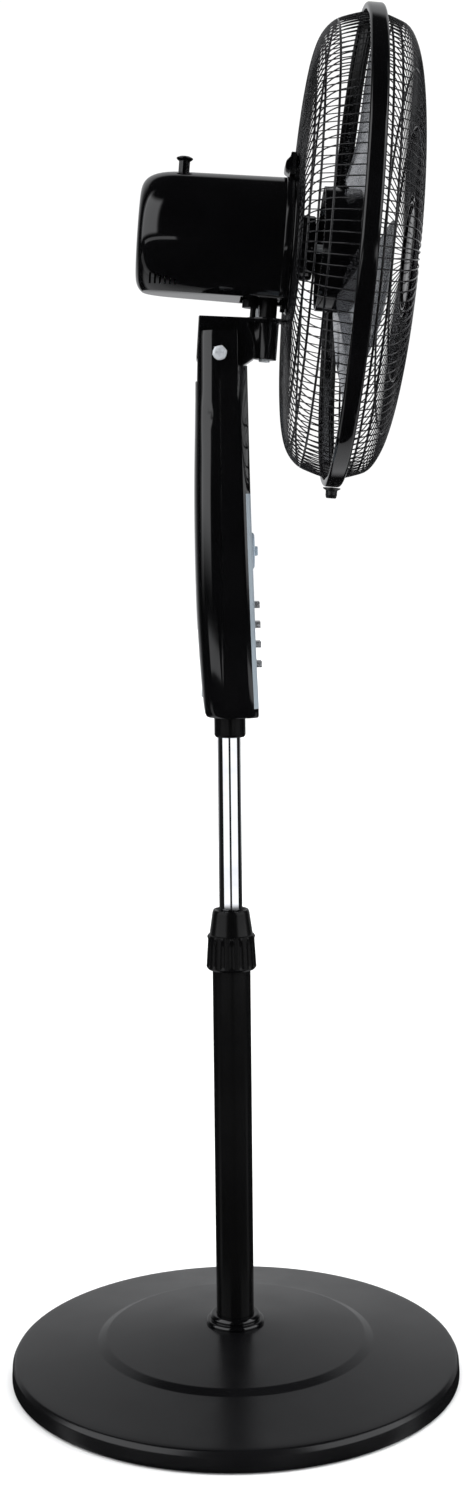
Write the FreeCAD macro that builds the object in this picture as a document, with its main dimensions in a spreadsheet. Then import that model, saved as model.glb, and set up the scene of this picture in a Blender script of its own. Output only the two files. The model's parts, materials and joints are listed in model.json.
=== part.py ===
import FreeCAD, Part
import math
import os
import re

import Sketcher
from FreeCAD import Placement, Rotation, Vector

# Pedestal fan, 40 cm class. Millimetres, +Z up, +X the way the air blows.
# The origin is the centre of the round base, on the floor.
# Pole parts stand on the Z axis. Neck and head parts are drawn in the head's own frame, whose
# X is the motor axis, Z is "up the head" and whose origin is the centre of the guard ring.

SIZES = [
    # base
    ("base_radius", 218), ("base_shoulder_radius", 208.7), ("base_shoulder_height", 20.6),
    ("base_plateau_radius", 126), ("base_plateau_height", 36.8), ("base_top_height", 48.2),
    ("base_wall", 2.5), ("base_lip_height", 1.2), ("weight_radius", 205), ("weight_bottom", 5),
    ("weight_thickness", 3.2), ("foot_radius", 11), ("foot_ring_radius", 165), ("foot_count", 6),
    ("bolt_ring_radius", 29), ("bolt_radius", 3), ("bolt_head_radius", 5), ("bolt_head_height", 3.2),
    ("tube_foot_radius", 40), ("tube_foot_thickness", 4), ("spigot_height", 60),
    # pole
    ("lower_tube_radius", 18.2), ("lower_tube_wall", 1.2), ("lower_tube_top", 408),
    ("flange_radius", 28.2), ("flange_height", 10), ("running_gap", 0.3), ("shaft_gap", 0.05),
    ("chrome_radius", 11), ("chrome_wall", 1), ("chrome_bottom", 250), ("chrome_top", 672),
    ("guide_height", 15), ("bush_bottom", 385), ("bush_top", 437), ("thread_radius", 15.5),
    ("collet_radius", 13.4), ("collet_height", 9), ("collet_slot", 2),
    ("collar_bottom", 400), ("collar_top", 458), ("collar_radius", 24), ("collar_step", 433),
    ("collar_step_radius", 21.6), ("collar_rim_radius", 17),
    # control housing
    ("socket_radius", 14.85), ("socket_bottom", 623), ("socket_top", 676),
    ("housing_wall", 2.4), ("housing_split", -5.2), ("rear_round", 13), ("front_round", 7),
    ("panel_thickness", 4.5), ("panel_bottom", 652), ("panel_top", 935),
    ("slot_half_width", 16.8), ("slot_floor", 953), ("cheek_front", 11.2), ("front_top", 966),
    ("tilt_bolt_x", -5.2), ("tilt_bolt_z", 977.3), ("tilt_bolt_radius", 4), ("tilt_head_width", 13),
    ("tilt_head_height", 5), ("cheek_half_width", 29.9), ("cover_screw_radius", 2),
    ("cover_screw_head", 4), ("socket_screw_seat", -23.5),
    ("top_screw_z", 938), ("middle_screw_z", 765), ("socket_screw_z", 665),
    ("gland_z", 700), ("gland_radius", 5),
    # controls
    ("button_lowest", 692), ("button_pitch", 18.5), ("button_height", 6), ("button_width", 22),
    ("button_reach", 5.5), ("button_back", 17), ("button_gap", 0.35),
    ("stem_width", 6), ("stem_height", 3), ("stem_back", 8),
    ("dial_z", 797.5), ("dial_radius", 17), ("dial_face", 25.6), ("dial_back", 19.6),
    ("grip_height", 10), ("grip_reach", 3), ("dial_shaft_radius", 3),
    # head frame
    ("ring_centre_x", 117), ("ring_centre_z", 1070.5), ("head_tilt", 4.94),
    # neck
    ("neck_half_width", 16.4), ("pivot_x", -71.8), ("pivot_pin_radius", 5), ("pivot_bush_radius", 7),
    ("pivot_boss_radius", 11), ("pivot_boss_bottom", -104), ("neck_top", -67), ("lip_radius", 20.4),
    ("tilt_eye_x", -113.7),
    ("tilt_eye_z", -103.4), ("post_radius", 2.5), ("post_x", -79), ("post_y", 19.7), ("post_top", -43.5),
    # motor
    ("motor_radius", 40), ("bell_wall", 3), ("stator_front", -85), ("stator_rear", -125),
    ("rotor_radius", 21), ("shaft_radius", 4), ("bearing_radius", 8), ("nose_radius", 20),
    ("nose_front", -34),
    ("cover_rear", -195.8), ("cover_front", -57), ("cover_rear_radius", 58.4), ("cover_front_radius", 61),
    ("cover_wall", 2.2), ("cover_flat", -51.3), ("mouth_length", 41.5), ("mouth_half_width", 26),
    ("gearbox_rear", -171), ("gearbox_front", -148.2), ("gearbox_half_width", 18),
    ("gearbox_bottom", -40), ("gearbox_top", 20), ("gearbox_wall", 3),
    ("knob_x", -158.2), ("knob_stem_radius", 5.2), ("knob_cap_radius", 7.6), ("knob_cap_bottom", 69.3),
    ("knob_top", 72.6), ("crank_disc_radius", 15), ("crank_top", -40.6), ("crank_bottom", -43.2),
    ("crank_shaft_radius", 3), ("link_top", -44), ("link_thickness", 2),
    ("link_width", 7), ("link_eye_radius", 5.5), ("link_end_x", -158.8), ("link_end_y", -0.1),
    # guards and fan
    ("ring_radius", 215.5), ("ring_half_width", 8), ("ring_wall", 2.2), ("ring_flange_radius", 209),
    ("wire_radius", 1.1), ("wire_count", 36), ("hoop_radius", 1.6), ("badge_radius", 55),
    ("plate_front", -50), ("plate_rear", -56.8), ("plate_radius", 61.5), ("lug_top", 82),
    ("lug_nose", 4.5), ("guard_nut_radius", 29),
    ("hub_radius", 56), ("hub_rear", -29), ("hub_front", 9.5), ("hub_wall", 2.5),
    ("blade_count", 3), ("blade_thickness", 2),
    ("clip_radius", 5.5), ("clip_bottom", -226),
]

# Control housing outline: height, rear edge, front edge, half width.
HOUSING_STATIONS = [
    (643, -22, 27.6, 33), (658, -24, 27.4, 34.5), (696, -26.8, 25.8, 36.5), (752, -29.4, 24.2, 37),
    (845, -30, 21.8, 35.5), (937, -27.9, 20.3, 31.5), (998, -27, 19.6, 28.5),
]

doc = FreeCAD.newDocument("pedestal_fan")
sheet = doc.addObject("Spreadsheet::Sheet", "Sheet")
for row, (alias, amount) in enumerate(SIZES, start=1):
    sheet.set("A%d" % row, alias)
    sheet.set("B%d" % row, str(amount))
    sheet.setAlias("B%d" % row, alias)
doc.recompute()

ALIASES = {alias for alias, amount in SIZES}
AXIS_X = Vector(1, 0, 0)
AXIS_Y = Vector(0, 1, 0)
AXIS_Z = Vector(0, 0, 1)
subparts = []


# ---- reading the sheet and binding to it ----

def bound(text):
    """Put the sheet's name before each of its aliases in an expression."""
    return re.sub(r"[a-z_]+", lambda word: "Sheet." + word.group(0) if word.group(0) in ALIASES
                  else word.group(0), str(text))


def size(text):
    """The number that an expression over the sheet's aliases comes to."""
    amount = sheet.evalExpression(bound(text))
    return float(getattr(amount, "Value", amount))


def keep(node, label, place=None):
    """Name a finished sub-part and put it in its place."""
    node.Label = label
    if place is not None:
        node.Placement = place
    subparts.append(node)
    return node


head_place = Placement(Vector(size("ring_centre_x"), 0, size("ring_centre_z")),
                       Rotation(AXIS_Y, size("head_tilt")))


# ---- sketched bodies ----

def sketch_on(body, role):
    """A sketch on one of the body's own origin planes."""
    plane = next(part for part in body.Origin.OriginFeatures if part.Role == role)
    sketch = body.newObject("Sketcher::SketchObject", body.Name + "_sketch")
    sketch.AttachmentSupport = (plane, "")
    sketch.MapMode = "FlatFace"
    return sketch


def draw_outline(sketch, corners):
    """A closed outline of straight lines, each corner held by two bound distances."""
    spots = [Vector(size(across), size(up), 0) for across, up in corners]
    count = len(spots)
    first = sketch.GeometryCount
    sketch.addGeometry([Part.LineSegment(spots[i], spots[(i + 1) % count]) for i in range(count)], False)
    sketch.addConstraint([Sketcher.Constraint("Coincident", first + i, 2, first + (i + 1) % count, 1)
                          for i in range(count)])
    for i, (across, up) in enumerate(corners):
        for kind, text, amount in (("DistanceX", across, spots[i].x), ("DistanceY", up, spots[i].y)):
            index = sketch.addConstraint(Sketcher.Constraint(kind, -1, 1, first + i, 1, amount))
            sketch.setExpression("Constraints[%d]" % index, bound(text))


def turned(label, outline, place=None, along="Z", rounds=()):
    """A body turned about Z or X. The outline's corners are (radius, distance along the axis)."""
    body = doc.addObject("PartDesign::Body", label)
    sketch = sketch_on(body, "XZ_Plane")
    corners = outline if along == "Z" else [(reach, radius) for radius, reach in outline]
    draw_outline(sketch, corners)
    turn = body.newObject("PartDesign::Revolution", label + "_turn")
    turn.Profile = sketch
    turn.ReferenceAxis = (sketch, ["V_Axis" if along == "Z" else "H_Axis"])
    turn.Angle = 360
    doc.recompute()
    for radius, reach, fillet in rounds:
        round_circle(body, along, size(radius), size(reach), fillet)
    return keep(body, label, place)


def round_circle(body, along, radius, reach, fillet):
    """Fillet the circular edge of this radius at this distance along the axis."""
    axis = AXIS_Z if along == "Z" else AXIS_X
    base = body.Tip
    names = []
    for number, edge in enumerate(base.Shape.Edges, start=1):
        curve = edge.Curve
        if curve.TypeId == "Part::GeomCircle" and abs(curve.Radius - radius) < 0.01:
            if abs(curve.Center.dot(axis) - reach) < 0.01:
                names.append("Edge%d" % number)
    feature = body.newObject("PartDesign::Fillet", body.Name + "_round")
    feature.Base = (base, names)
    feature.setExpression("Radius", bound(fillet))
    body.Tip = feature
    doc.recompute()


def padded(label, outline, half_width, place=None):
    """A body padded both ways from its XZ plane."""
    body = doc.addObject("PartDesign::Body", label)
    sketch = sketch_on(body, "XZ_Plane")
    draw_outline(sketch, outline)
    pad = body.newObject("PartDesign::Pad", label + "_pad")
    pad.Profile = sketch
    pad.setExpression("Length", bound("2 * (%s)" % half_width))
    pad.SideType = "Symmetric"
    doc.recompute()
    return keep(body, label, place) if place is not None else body


# ---- solid primitives bound to the sheet ----

def block(x_from, x_to, y_from, y_to, z_from, z_to):
    """A box between two corners."""
    piece = doc.addObject("Part::Box", "block")
    for side, low, high in (("Length", x_from, x_to), ("Width", y_from, y_to), ("Height", z_from, z_to)):
        piece.setExpression(side, bound("(%s) - (%s)" % (high, low)))
    for axis, low in (("x", x_from), ("y", y_from), ("z", z_from)):
        piece.setExpression("Placement.Base." + axis, bound(low))
    return piece


def rod(radius, low, high, across=0, aside=0, along="Z"):
    """A cylinder along an axis, with the two other coordinates of its centre line."""
    piece = doc.addObject("Part::Cylinder", "rod")
    piece.setExpression("Radius", bound(radius))
    piece.setExpression("Height", bound("(%s) - (%s)" % (high, low)))
    turns = {"X": Rotation(AXIS_Y, 90), "Y": Rotation(AXIS_X, -90), "Z": Rotation()}
    piece.Placement = Placement(Vector(), turns[along])
    spots = {"X": (low, across, aside), "Y": (across, low, aside), "Z": (across, aside, low)}
    for axis, spot in zip("xyz", spots[along]):
        piece.setExpression("Placement.Base." + axis, bound(spot))
    return piece


def joined(pieces):
    """Fuse several pieces into one."""
    fuse = doc.addObject("Part::MultiFuse", "fuse")
    fuse.Shapes = pieces
    return fuse


def cut_away(base, tools):
    """Cut every tool from the base."""
    for tool in tools:
        cut = doc.addObject("Part::Cut", "cut")
        cut.Base = base
        cut.Tool = tool
        base = cut
    return base


def group(pieces):
    """Several separate solids in one sub-part."""
    compound = doc.addObject("Part::Compound", "group")
    compound.Links = pieces
    return compound


def solid_feature(label, shape, place=None):
    """A sub-part whose shape is computed."""
    node = doc.addObject("Part::Feature", label)
    node.Shape = shape
    return keep(node, label, place)


# ---- base and pole ----

def make_base():
    outer = [("base_radius", "base_lip_height"), ("base_radius", "base_lip_height + 3.5"),
             ("base_radius - 2", "base_lip_height + 5.5"),
             ("base_shoulder_radius + 3", "base_shoulder_height - 3.5"),
             ("base_shoulder_radius", "base_shoulder_height"),
             ("base_plateau_radius + 8.5", "base_plateau_height - 3.8"),
             ("base_plateau_radius", "base_plateau_height"), ("30", "base_top_height"),
             ("lower_tube_radius + 0.4", "base_top_height")]
    inner = [("lower_tube_radius + 0.4", "base_top_height - base_wall"),
             ("30", "base_top_height - base_wall"),
             ("base_plateau_radius - 1", "base_plateau_height - base_wall"),
             ("base_plateau_radius + 7.5", "base_plateau_height - 3.8 - base_wall"),
             ("base_shoulder_radius - 1", "base_shoulder_height - base_wall"),
             ("base_radius - 2 - base_wall", "base_lip_height + 5.5"),
             ("base_radius - base_wall", "base_lip_height")]
    turned("base_cover", outer + inner)
    weight_top = "weight_bottom + weight_thickness"
    spots = ring_of("bolt_ring_radius", 4, 45)
    holes = [rod("bolt_radius", "weight_bottom - 1", weight_top + " + 1", x, y) for x, y in spots]
    keep(cut_away(rod("weight_radius", "weight_bottom", weight_top), holes), "base_weight")
    pads = [rod("foot_radius", "0", "weight_bottom", x, y)
            for x, y in ring_of("foot_ring_radius", int(size("foot_count")), 0)]
    keep(group(pads), "base_feet")
    foot_top = weight_top + " + tube_foot_thickness"
    bore = "lower_tube_radius - lower_tube_wall"
    plate = joined([rod("tube_foot_radius", weight_top, foot_top), rod(bore, foot_top, "spigot_height")])
    holes = [rod("bolt_radius", weight_top, foot_top, x, y) for x, y in spots]
    keep(cut_away(plate, holes), "tube_foot")
    bolts = [joined([rod("bolt_head_radius", "weight_bottom - bolt_head_height", "weight_bottom", x, y),
                     rod("bolt_radius", "weight_bottom", foot_top, x, y)]) for x, y in spots]
    keep(group(bolts), "base_bolts")
    turned("pole_flange", [("lower_tube_radius", "base_top_height"), ("flange_radius", "base_top_height"),
                           ("flange_radius", "base_top_height + 3.6"),
                           ("flange_radius - 3", "base_top_height + 4.6"),
                           ("flange_radius - 3", "base_top_height + 7"),
                           ("flange_radius - 6", "base_top_height + flange_height"),
                           ("lower_tube_radius", "base_top_height + flange_height")])
    turned("lower_tube", pipe_outline("lower_tube_radius", bore, foot_top, "lower_tube_top"))


def ring_of(radius, count, start):
    """Expressions for spots evenly spaced on a circle about Z."""
    turns = [start + 360.0 * i / count for i in range(count)]
    return [("%s * cos(%g deg)" % (radius, turn), "%s * sin(%g deg)" % (radius, turn)) for turn in turns]


def pipe_outline(outer, inner, low, high):
    return [(inner, low), (outer, low), (outer, high), (inner, high)]


def make_pole():
    bore = "chrome_radius + running_gap"
    turned("tube_bush", [(bore, "bush_bottom"), ("lower_tube_radius - lower_tube_wall", "bush_bottom"),
                         ("lower_tube_radius - lower_tube_wall", "lower_tube_top"),
                         ("lower_tube_radius", "lower_tube_top"),
                         ("lower_tube_radius", "lower_tube_top + 2"), ("thread_radius", "lower_tube_top + 2"),
                         ("thread_radius", "bush_top"), (bore, "bush_top")])
    ring = cut_away(rod("collet_radius", "bush_top", "bush_top + collet_height"),
                    [rod("chrome_radius + 0.1", "bush_top - 1", "bush_top + collet_height + 1")])
    low = "bush_top + 2"
    high = "bush_top + collet_height + 1"
    half = "collet_slot / 2"
    slots = [block("-collet_radius - 1", "collet_radius + 1", "-" + half, half, low, high),
             block("-" + half, half, "-collet_radius - 1", "collet_radius + 1", low, high)]
    keep(cut_away(ring, slots), "clamp_collet")
    turned("height_collar",
           [("lower_tube_radius + running_gap", "collar_bottom"), ("collar_radius - 1.5", "collar_bottom"),
            ("collar_radius", "collar_bottom + 2"), ("collar_step_radius + 0.6", "collar_step"),
            ("collar_step_radius - 1.1", "collar_step + 3"), ("collar_rim_radius + 0.6", "collar_top - 3"),
            ("collar_rim_radius - 2", "collar_top"), ("chrome_radius + 0.8", "collar_top"),
            ("chrome_radius + 0.8", "collar_top - 4"), ("collet_radius + 0.4", "collar_top - 10"),
            ("thread_radius + running_gap", "bush_top + 1"),
            ("thread_radius + running_gap", "lower_tube_top + 3"),
            ("lower_tube_radius + running_gap", "lower_tube_top + 3")])
    turned("chrome_tube", pipe_outline("chrome_radius", "chrome_radius - chrome_wall",
                                       "chrome_bottom", "chrome_top"))
    spigot = "chrome_radius - chrome_wall"
    guide = "lower_tube_radius - lower_tube_wall - running_gap"
    turned("tube_guide", [("0", "chrome_bottom - guide_height"), (guide, "chrome_bottom - guide_height"),
                          (guide, "chrome_bottom"), (spigot, "chrome_bottom"),
                          (spigot, "chrome_bottom + guide_height"), ("0", "chrome_bottom + guide_height")])


# ---- control housing ----

def housing_section(height, rear, front, half_width, rear_round, front_round):
    """A level section of the housing: a rectangle with round corners, as a closed wire."""
    corners = [(rear, -half_width, rear_round), (front, -half_width, front_round),
               (front, half_width, front_round), (rear, half_width, rear_round)]
    return rounded_loop([(Vector(x, y, height), radius) for x, y, radius in corners])


def rounded_loop(corners):
    """A closed wire through the corners, each rounded by a tangent arc."""
    edges = []
    count = len(corners)
    arcs = [corner_arc(corners[i - 1][0], corners[i][0], corners[(i + 1) % count][0], corners[i][1])
            for i in range(count)]
    for i, (start, middle, end) in enumerate(arcs):
        edges.append(Part.Arc(start, middle, end).toShape())
        following = arcs[(i + 1) % count][0]
        if (following - end).Length > 1e-6:
            edges.append(Part.LineSegment(end, following).toShape())
    return Part.Wire(edges)


def corner_arc(before, corner, after, radius):
    """Start, middle and end of the arc that rounds a corner."""
    back = (before - corner).normalize()
    ahead = (after - corner).normalize()
    half = back.getAngle(ahead) / 2
    reach = radius / math.tan(half)
    bisector = (back + ahead).normalize()
    middle = corner + bisector * (radius / math.sin(half) - radius)
    return corner + back * reach, middle, corner + ahead * reach


def housing_loft(inset, front_inset, low, high):
    """The housing's outline as a solid, shrunk by an inset, between two heights."""
    sections = []
    for height, rear, front, half_width in HOUSING_STATIONS:
        sections.append(housing_section(height, rear + inset, front - front_inset, half_width - inset,
                                        size("rear_round") - inset * 0.5, size("front_round") - inset * 0.5))
    loft = Part.makeLoft(sections, True, False)
    return loft.common(Part.makeBox(200, 200, high - low, Vector(-100, -100, low)))


def make_housing():
    wall = size("housing_wall")
    bottom = HOUSING_STATIONS[0][0]
    top = HOUSING_STATIONS[-1][0]
    far = 100
    slot = size("slot_half_width")
    slot_box = Part.makeBox(2 * far, 2 * slot, far, Vector(-far, -slot, size("slot_floor")))
    slot_lining = Part.makeBox(2 * far, 2 * (slot + wall), far,
                               Vector(-far, -slot - wall, size("slot_floor") - wall))
    front_box = Part.makeBox(far, 2 * far, far, Vector(size("cheek_front"), -far, size("front_top")))
    front_lining = Part.makeBox(far, 2 * far, far,
                                Vector(size("cheek_front") - wall, -far, size("front_top") - wall))
    outer = housing_loft(0, 0, bottom, top).cut(slot_box).cut(front_box)
    cavity = housing_loft(wall, wall + size("panel_thickness"), bottom + wall, top - wall)
    cavity = cavity.cut(slot_lining).cut(front_lining)
    core = housing_loft(-5, size("panel_thickness"), bottom, top)
    band = Part.makeBox(2 * far, 2 * far, size("panel_top") - size("panel_bottom"),
                        Vector(-far, -far, size("panel_bottom")))
    panel = outer.common(band).cut(core)
    shell = outer.cut(cavity).cut(panel)
    shell = shell.cut(Part.makeCylinder(size("socket_radius"), far, Vector(0, 0, size("socket_bottom"))))
    bolt_axis = Vector(size("tilt_bolt_x"), -far, size("tilt_bolt_z"))
    shell = shell.cut(Part.makeCylinder(size("tilt_bolt_radius"), 2 * far, bolt_axis, AXIS_Y))
    rear_side = Part.makeBox(far + size("housing_split"), 2 * far, 2 * top, Vector(-far, -far, 0))
    for height in (size("top_screw_z"), size("middle_screw_z"), size("socket_screw_z")):
        hole = Part.makeCylinder(size("cover_screw_radius"), far, Vector(-far, 0, height), AXIS_X)
        shell = shell.cut(hole.common(rear_side))
    recess = Part.makeCylinder(size("cover_screw_head") + 0.1, far,
                               Vector(size("socket_screw_seat") - far, 0, size("socket_screw_z")), AXIS_X)
    shell = shell.cut(recess)
    gland = Part.makeCylinder(size("gland_radius"), far, Vector(-far, 0, size("gland_z")), AXIS_X)
    solid_feature("cord_gland", housing_loft(0, 0, bottom, top).common(gland).cut(cavity))
    shell = shell.cut(gland.common(rear_side))
    solid_feature("housing_rear", shell.common(rear_side))
    openings = panel_openings()
    solid_feature("housing_front", shell.cut(rear_side).cut(openings))
    solid_feature("control_panel", panel.cut(openings))


def panel_openings():
    """The holes for the four buttons and the timer dial, through the panel and the wall behind it."""
    gap = size("button_gap")
    width = size("button_width") + 2 * gap
    height = size("button_height") + 2 * gap
    holes = Part.makeCylinder(size("dial_radius + button_gap"), 60, Vector(10, 0, size("dial_z")), AXIS_X)
    for number in range(4):
        middle = size("button_lowest") + number * size("button_pitch")
        holes = holes.fuse(Part.makeBox(60, width, height, Vector(10, -width / 2, middle - height / 2)))
    return holes


def make_mast():
    turned("pole_socket", pipe_outline("socket_radius", "chrome_radius", "socket_bottom", "socket_top"))
    screw = joined([rod("cover_screw_radius", "socket_screw_seat", "-socket_radius - 0.05", "0",
                        "socket_screw_z", "X"),
                    rod("cover_screw_head", "socket_screw_seat - 1.9", "socket_screw_seat", "0",
                        "socket_screw_z", "X")])
    keep(screw, "socket_screw")
    screws = []
    for height, wall_x in (("top_screw_z", -27.5), ("middle_screw_z", -29.2)):
        screws.append(rod("cover_screw_radius", wall_x, wall_x + 14, "0", height, "X"))
    keep(group(screws), "housing_screws")
    head = rod("tilt_head_width / 2", "-cheek_half_width - tilt_head_height", "-cheek_half_width",
               "tilt_bolt_x", "tilt_bolt_z", "Y")
    shank = rod("tilt_bolt_radius", "-cheek_half_width", "cheek_half_width + 7", "tilt_bolt_x",
                "tilt_bolt_z", "Y")
    keep(joined([head, shank]), "tilt_bolt")
    nut = rod("tilt_head_width / 2", "cheek_half_width", "cheek_half_width + 6", "tilt_bolt_x",
              "tilt_bolt_z", "Y")
    hole = rod("tilt_bolt_radius", "cheek_half_width - 1", "cheek_half_width + 7", "tilt_bolt_x",
               "tilt_bolt_z", "Y")
    keep(cut_away(nut, [hole]), "tilt_nut")
    make_switches()
    body = block("-12", "10", "-20", "20", "dial_z - 20", "dial_z + 20")
    bore = rod("dial_shaft_radius + shaft_gap", "-2", "11", "0", "dial_z", "X")
    keep(cut_away(body, [bore]), "timer_body")
    strip = block("-12", "-2", "-15", "15", "860", "872")
    wells = [rod("2.5", "-6", "-1", side, "866", "X") for side in ("-9", "0", "9")]
    keep(cut_away(strip, wells), "terminal_block")


def make_switches():
    """The switch body and its four push buttons, lowest first."""
    body = block("-8", "10", "-14", "14", "button_lowest - 10", "button_lowest + 3 * button_pitch + 10")
    slots = []
    for number in range(4):
        middle = "button_lowest + %d * button_pitch" % number
        slots.append(block("2", "11", "-stem_width / 2 - button_gap", "stem_width / 2 + button_gap",
                           middle + " - stem_height / 2 - button_gap",
                           middle + " + stem_height / 2 + button_gap"))
    keep(cut_away(body, slots), "switch_body")
    for number, name in enumerate(("button_off", "button_low", "button_medium", "button_high")):
        middle = "button_lowest + %d * button_pitch" % number
        tip = size("button_reach") + panel_front(size(middle))
        cap = block("button_back", tip, "-button_width / 2", "button_width / 2",
                    middle + " - button_height / 2", middle + " + button_height / 2")
        stem = block("stem_back", "button_back", "-stem_width / 2", "stem_width / 2",
                     middle + " - stem_height / 2", middle + " + stem_height / 2")
        keep(joined([cap, stem]), name)


def panel_front(height):
    """Distance of the panel's face from the pole axis at a height, between two stations."""
    for low, high in zip(HOUSING_STATIONS, HOUSING_STATIONS[1:]):
        if low[0] <= height <= high[0]:
            share = (height - low[0]) / (high[0] - low[0])
            return low[2] + share * (high[2] - low[2])
    return HOUSING_STATIONS[0][2]


def make_timer_dial():
    disc = rod("dial_radius", "dial_back", "dial_face", "0", "dial_z", "X")
    grip = block("dial_face", "dial_face + grip_reach", "-dial_radius + 3", "dial_radius - 3",
                 "dial_z - grip_height / 2", "dial_z + grip_height / 2")
    shaft = rod("dial_shaft_radius", "0", "dial_back", "0", "dial_z", "X")
    keep(joined([disc, grip, shaft]), "timer_dial")


# ---- neck ----

def make_neck():
    side = padded("neck_side", [("-135.4", "-69.7"), ("-59", "neck_top"), ("-59", "-71"), ("-95", "-74"),
                                ("-88", "-84"), ("-81.5", "-103"), ("-92", "-112"), ("-103", "-123"),
                                ("tilt_eye_x", "-125.5"), ("-126", "-121.5"), ("-135", "-108")],
                  "neck_half_width")
    lip = rod("lip_radius", "neck_top - 2", "neck_top - 0.3", "pivot_x", "0")
    ear = block("-86", "-70", "10", "post_y + 5", "-71", "-68")
    boss = rod("pivot_boss_radius", "pivot_boss_bottom", "neck_top - 1", "pivot_x", "0")
    bracket = cut_away(joined([side, lip, ear, boss]),
                       [rod("pivot_bush_radius", "pivot_boss_bottom - 1", "neck_top + 3", "pivot_x", "0"),
                        rod("tilt_bolt_radius + shaft_gap", "-neck_half_width - 1", "neck_half_width + 1",
                            "tilt_eye_x", "tilt_eye_z", "Y"),
                        rod("post_radius", "-72", "-67", "post_x", "post_y")])
    keep(bracket, "neck_bracket", head_place)
    bush = cut_away(rod("pivot_bush_radius", "pivot_boss_bottom", "neck_top - 0.6", "pivot_x", "0"),
                    [rod("pivot_pin_radius + shaft_gap", "pivot_boss_bottom - 1", "neck_top + 1",
                         "pivot_x", "0")])
    keep(bush, "pivot_bush", head_place)
    post = joined([rod("post_radius", "-71", "post_top", "post_x", "post_y"),
                   rod("post_radius + 0.8", "neck_top", "link_top - link_thickness - 0.4",
                       "post_x", "post_y")])
    keep(post, "link_post", head_place)


def make_link():
    bottom = "link_top - link_thickness"
    run = Vector(size("link_end_x") - size("post_x"), size("link_end_y") - size("post_y"), 0)
    bar = doc.addObject("Part::Box", "link_bar")
    bar.Length = run.Length
    bar.setExpression("Width", bound("link_width"))
    bar.setExpression("Height", bound("link_thickness"))
    across = AXIS_Z.cross(run).normalize() * (size("link_width") / 2)
    start = Vector(size("post_x"), size("post_y"), size(bottom)) - across
    bar.Placement = Placement(start, Rotation(AXIS_X, run))
    eyes = [rod("link_eye_radius", bottom, "link_top", "post_x", "post_y"),
            rod("link_eye_radius", bottom, "link_top", "link_end_x", "link_end_y"),
            rod("post_radius", "link_top", "link_top + 0.4", "link_end_x", "link_end_y")]
    hole = rod("post_radius + shaft_gap", "link_top - 5", "link_top + 2", "post_x", "post_y")
    keep(cut_away(joined([bar] + eyes), [hole]), "link_rod", head_place)


# ---- motor ----

def make_motor():
    rim = "motor_radius - bell_wall"
    turned("front_bell", [("bearing_radius", "-78"), ("12", "-78"), ("12", "-66"), (rim, "-66"),
                          (rim, "stator_front"), ("motor_radius", "stator_front"), ("motor_radius", "-62"),
                          ("nose_radius", "-62"), ("nose_radius", "nose_front"), ("12", "nose_front"),
                          ("bearing_radius", "-60")], head_place, "X")
    turned("rear_bell", [("bearing_radius", "-134"), ("12", "-134"), ("12", "-144"), (rim, "-144"),
                         (rim, "stator_rear"), ("motor_radius", "stator_rear"), ("motor_radius", "-148.2"),
                         ("bearing_radius", "-148.2")], head_place, "X")
    turned("stator_core", pipe_outline("motor_radius", "rotor_radius + 0.5", "stator_rear", "stator_front"),
           head_place, "X")
    coils = []
    for low, high in (("stator_rear - 9", "stator_rear"), ("stator_front", "stator_front + 8")):
        for quarter in range(4):
            coils.append(winding(low, high, 90 * quarter + 10))
    keep(group(coils), "stator_coils", head_place)
    bearings = []
    for low, high in (("-78", "-62"), ("-148", "-134")):
        tube = rod("bearing_radius", low, high, along="X")
        bearings.append(cut_away(tube, [rod("shaft_radius + shaft_gap", low + " - 1", high + " + 1",
                                            along="X")]))
    keep(group(bearings), "bearings", head_place)
    keep(group([rod("8", "-186", "-148.2", "30", "5", along="X")]), "capacitor", head_place)
    make_cover()
    make_gearbox()
    make_yoke()


def winding(low, high, start):
    """One end winding: an arc of 70 degrees round the motor axis."""
    piece = doc.addObject("Part::Cylinder", "winding")
    piece.setExpression("Radius", bound("motor_radius - 5"))
    piece.setExpression("Height", bound("(%s) - (%s)" % (high, low)))
    piece.Angle = 70
    piece.Placement = Placement(Vector(size(low), 0, 0), Rotation(AXIS_Y, 90) * Rotation(AXIS_Z, start))
    return cut_away(piece, [rod("rotor_radius + 5", low + " - 1", high + " + 1", along="X")])


def turned_shape(outline):
    """A solid turned about X from (distance along X, radius) corners."""
    corners = [Vector(reach, 0, radius) for reach, radius in outline]
    face = Part.Face(Part.makePolygon(corners + corners[:1]))
    return face.revolve(Vector(), AXIS_X, 360)


def cover_outline(inset):
    """Half outline of the motor cover: a tapering can whose rear corner turns in slowly, then sharply."""
    rear = size("cover_rear") + inset
    front = size("cover_front")
    wide = size("cover_rear_radius") - inset
    points = [(rear, 0), (rear, wide - 25)]
    for step in range(1, 8):
        turn = math.radians(90 * step / 8)
        points.append((rear + 45 * (1 - math.cos(turn)) ** 1.4, wide - 25 * (1 - math.sin(turn)) ** 1.15))
    return points + [(rear + 50, wide + 0.2), (front, size("cover_front_radius") - inset), (front, 0)]


def make_cover():
    wall = size("cover_wall")
    flat = size("cover_flat")
    far = 100
    outer = turned_shape(cover_outline(0))
    outer = outer.cut(Part.makeBox(2 * far, 2 * far, far, Vector(-2 * far, -far, flat - far)))
    inner = turned_shape(cover_outline(wall))
    inner = inner.cut(Part.makeBox(2 * far, 2 * far, far, Vector(-2 * far, -far, flat + wall - far)))
    mouth = Part.makeBox(size("mouth_length"), 2 * size("mouth_half_width"), 6,
                         Vector(size("cover_front - mouth_length"), -size("mouth_half_width"), flat - 3))
    knob_hole = Part.makeCylinder(size("knob_stem_radius + running_gap"), far, Vector(size("knob_x"), 0, 0))
    solid_feature("motor_cover", outer.cut(inner).cut(mouth).cut(knob_hole), head_place)


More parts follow.
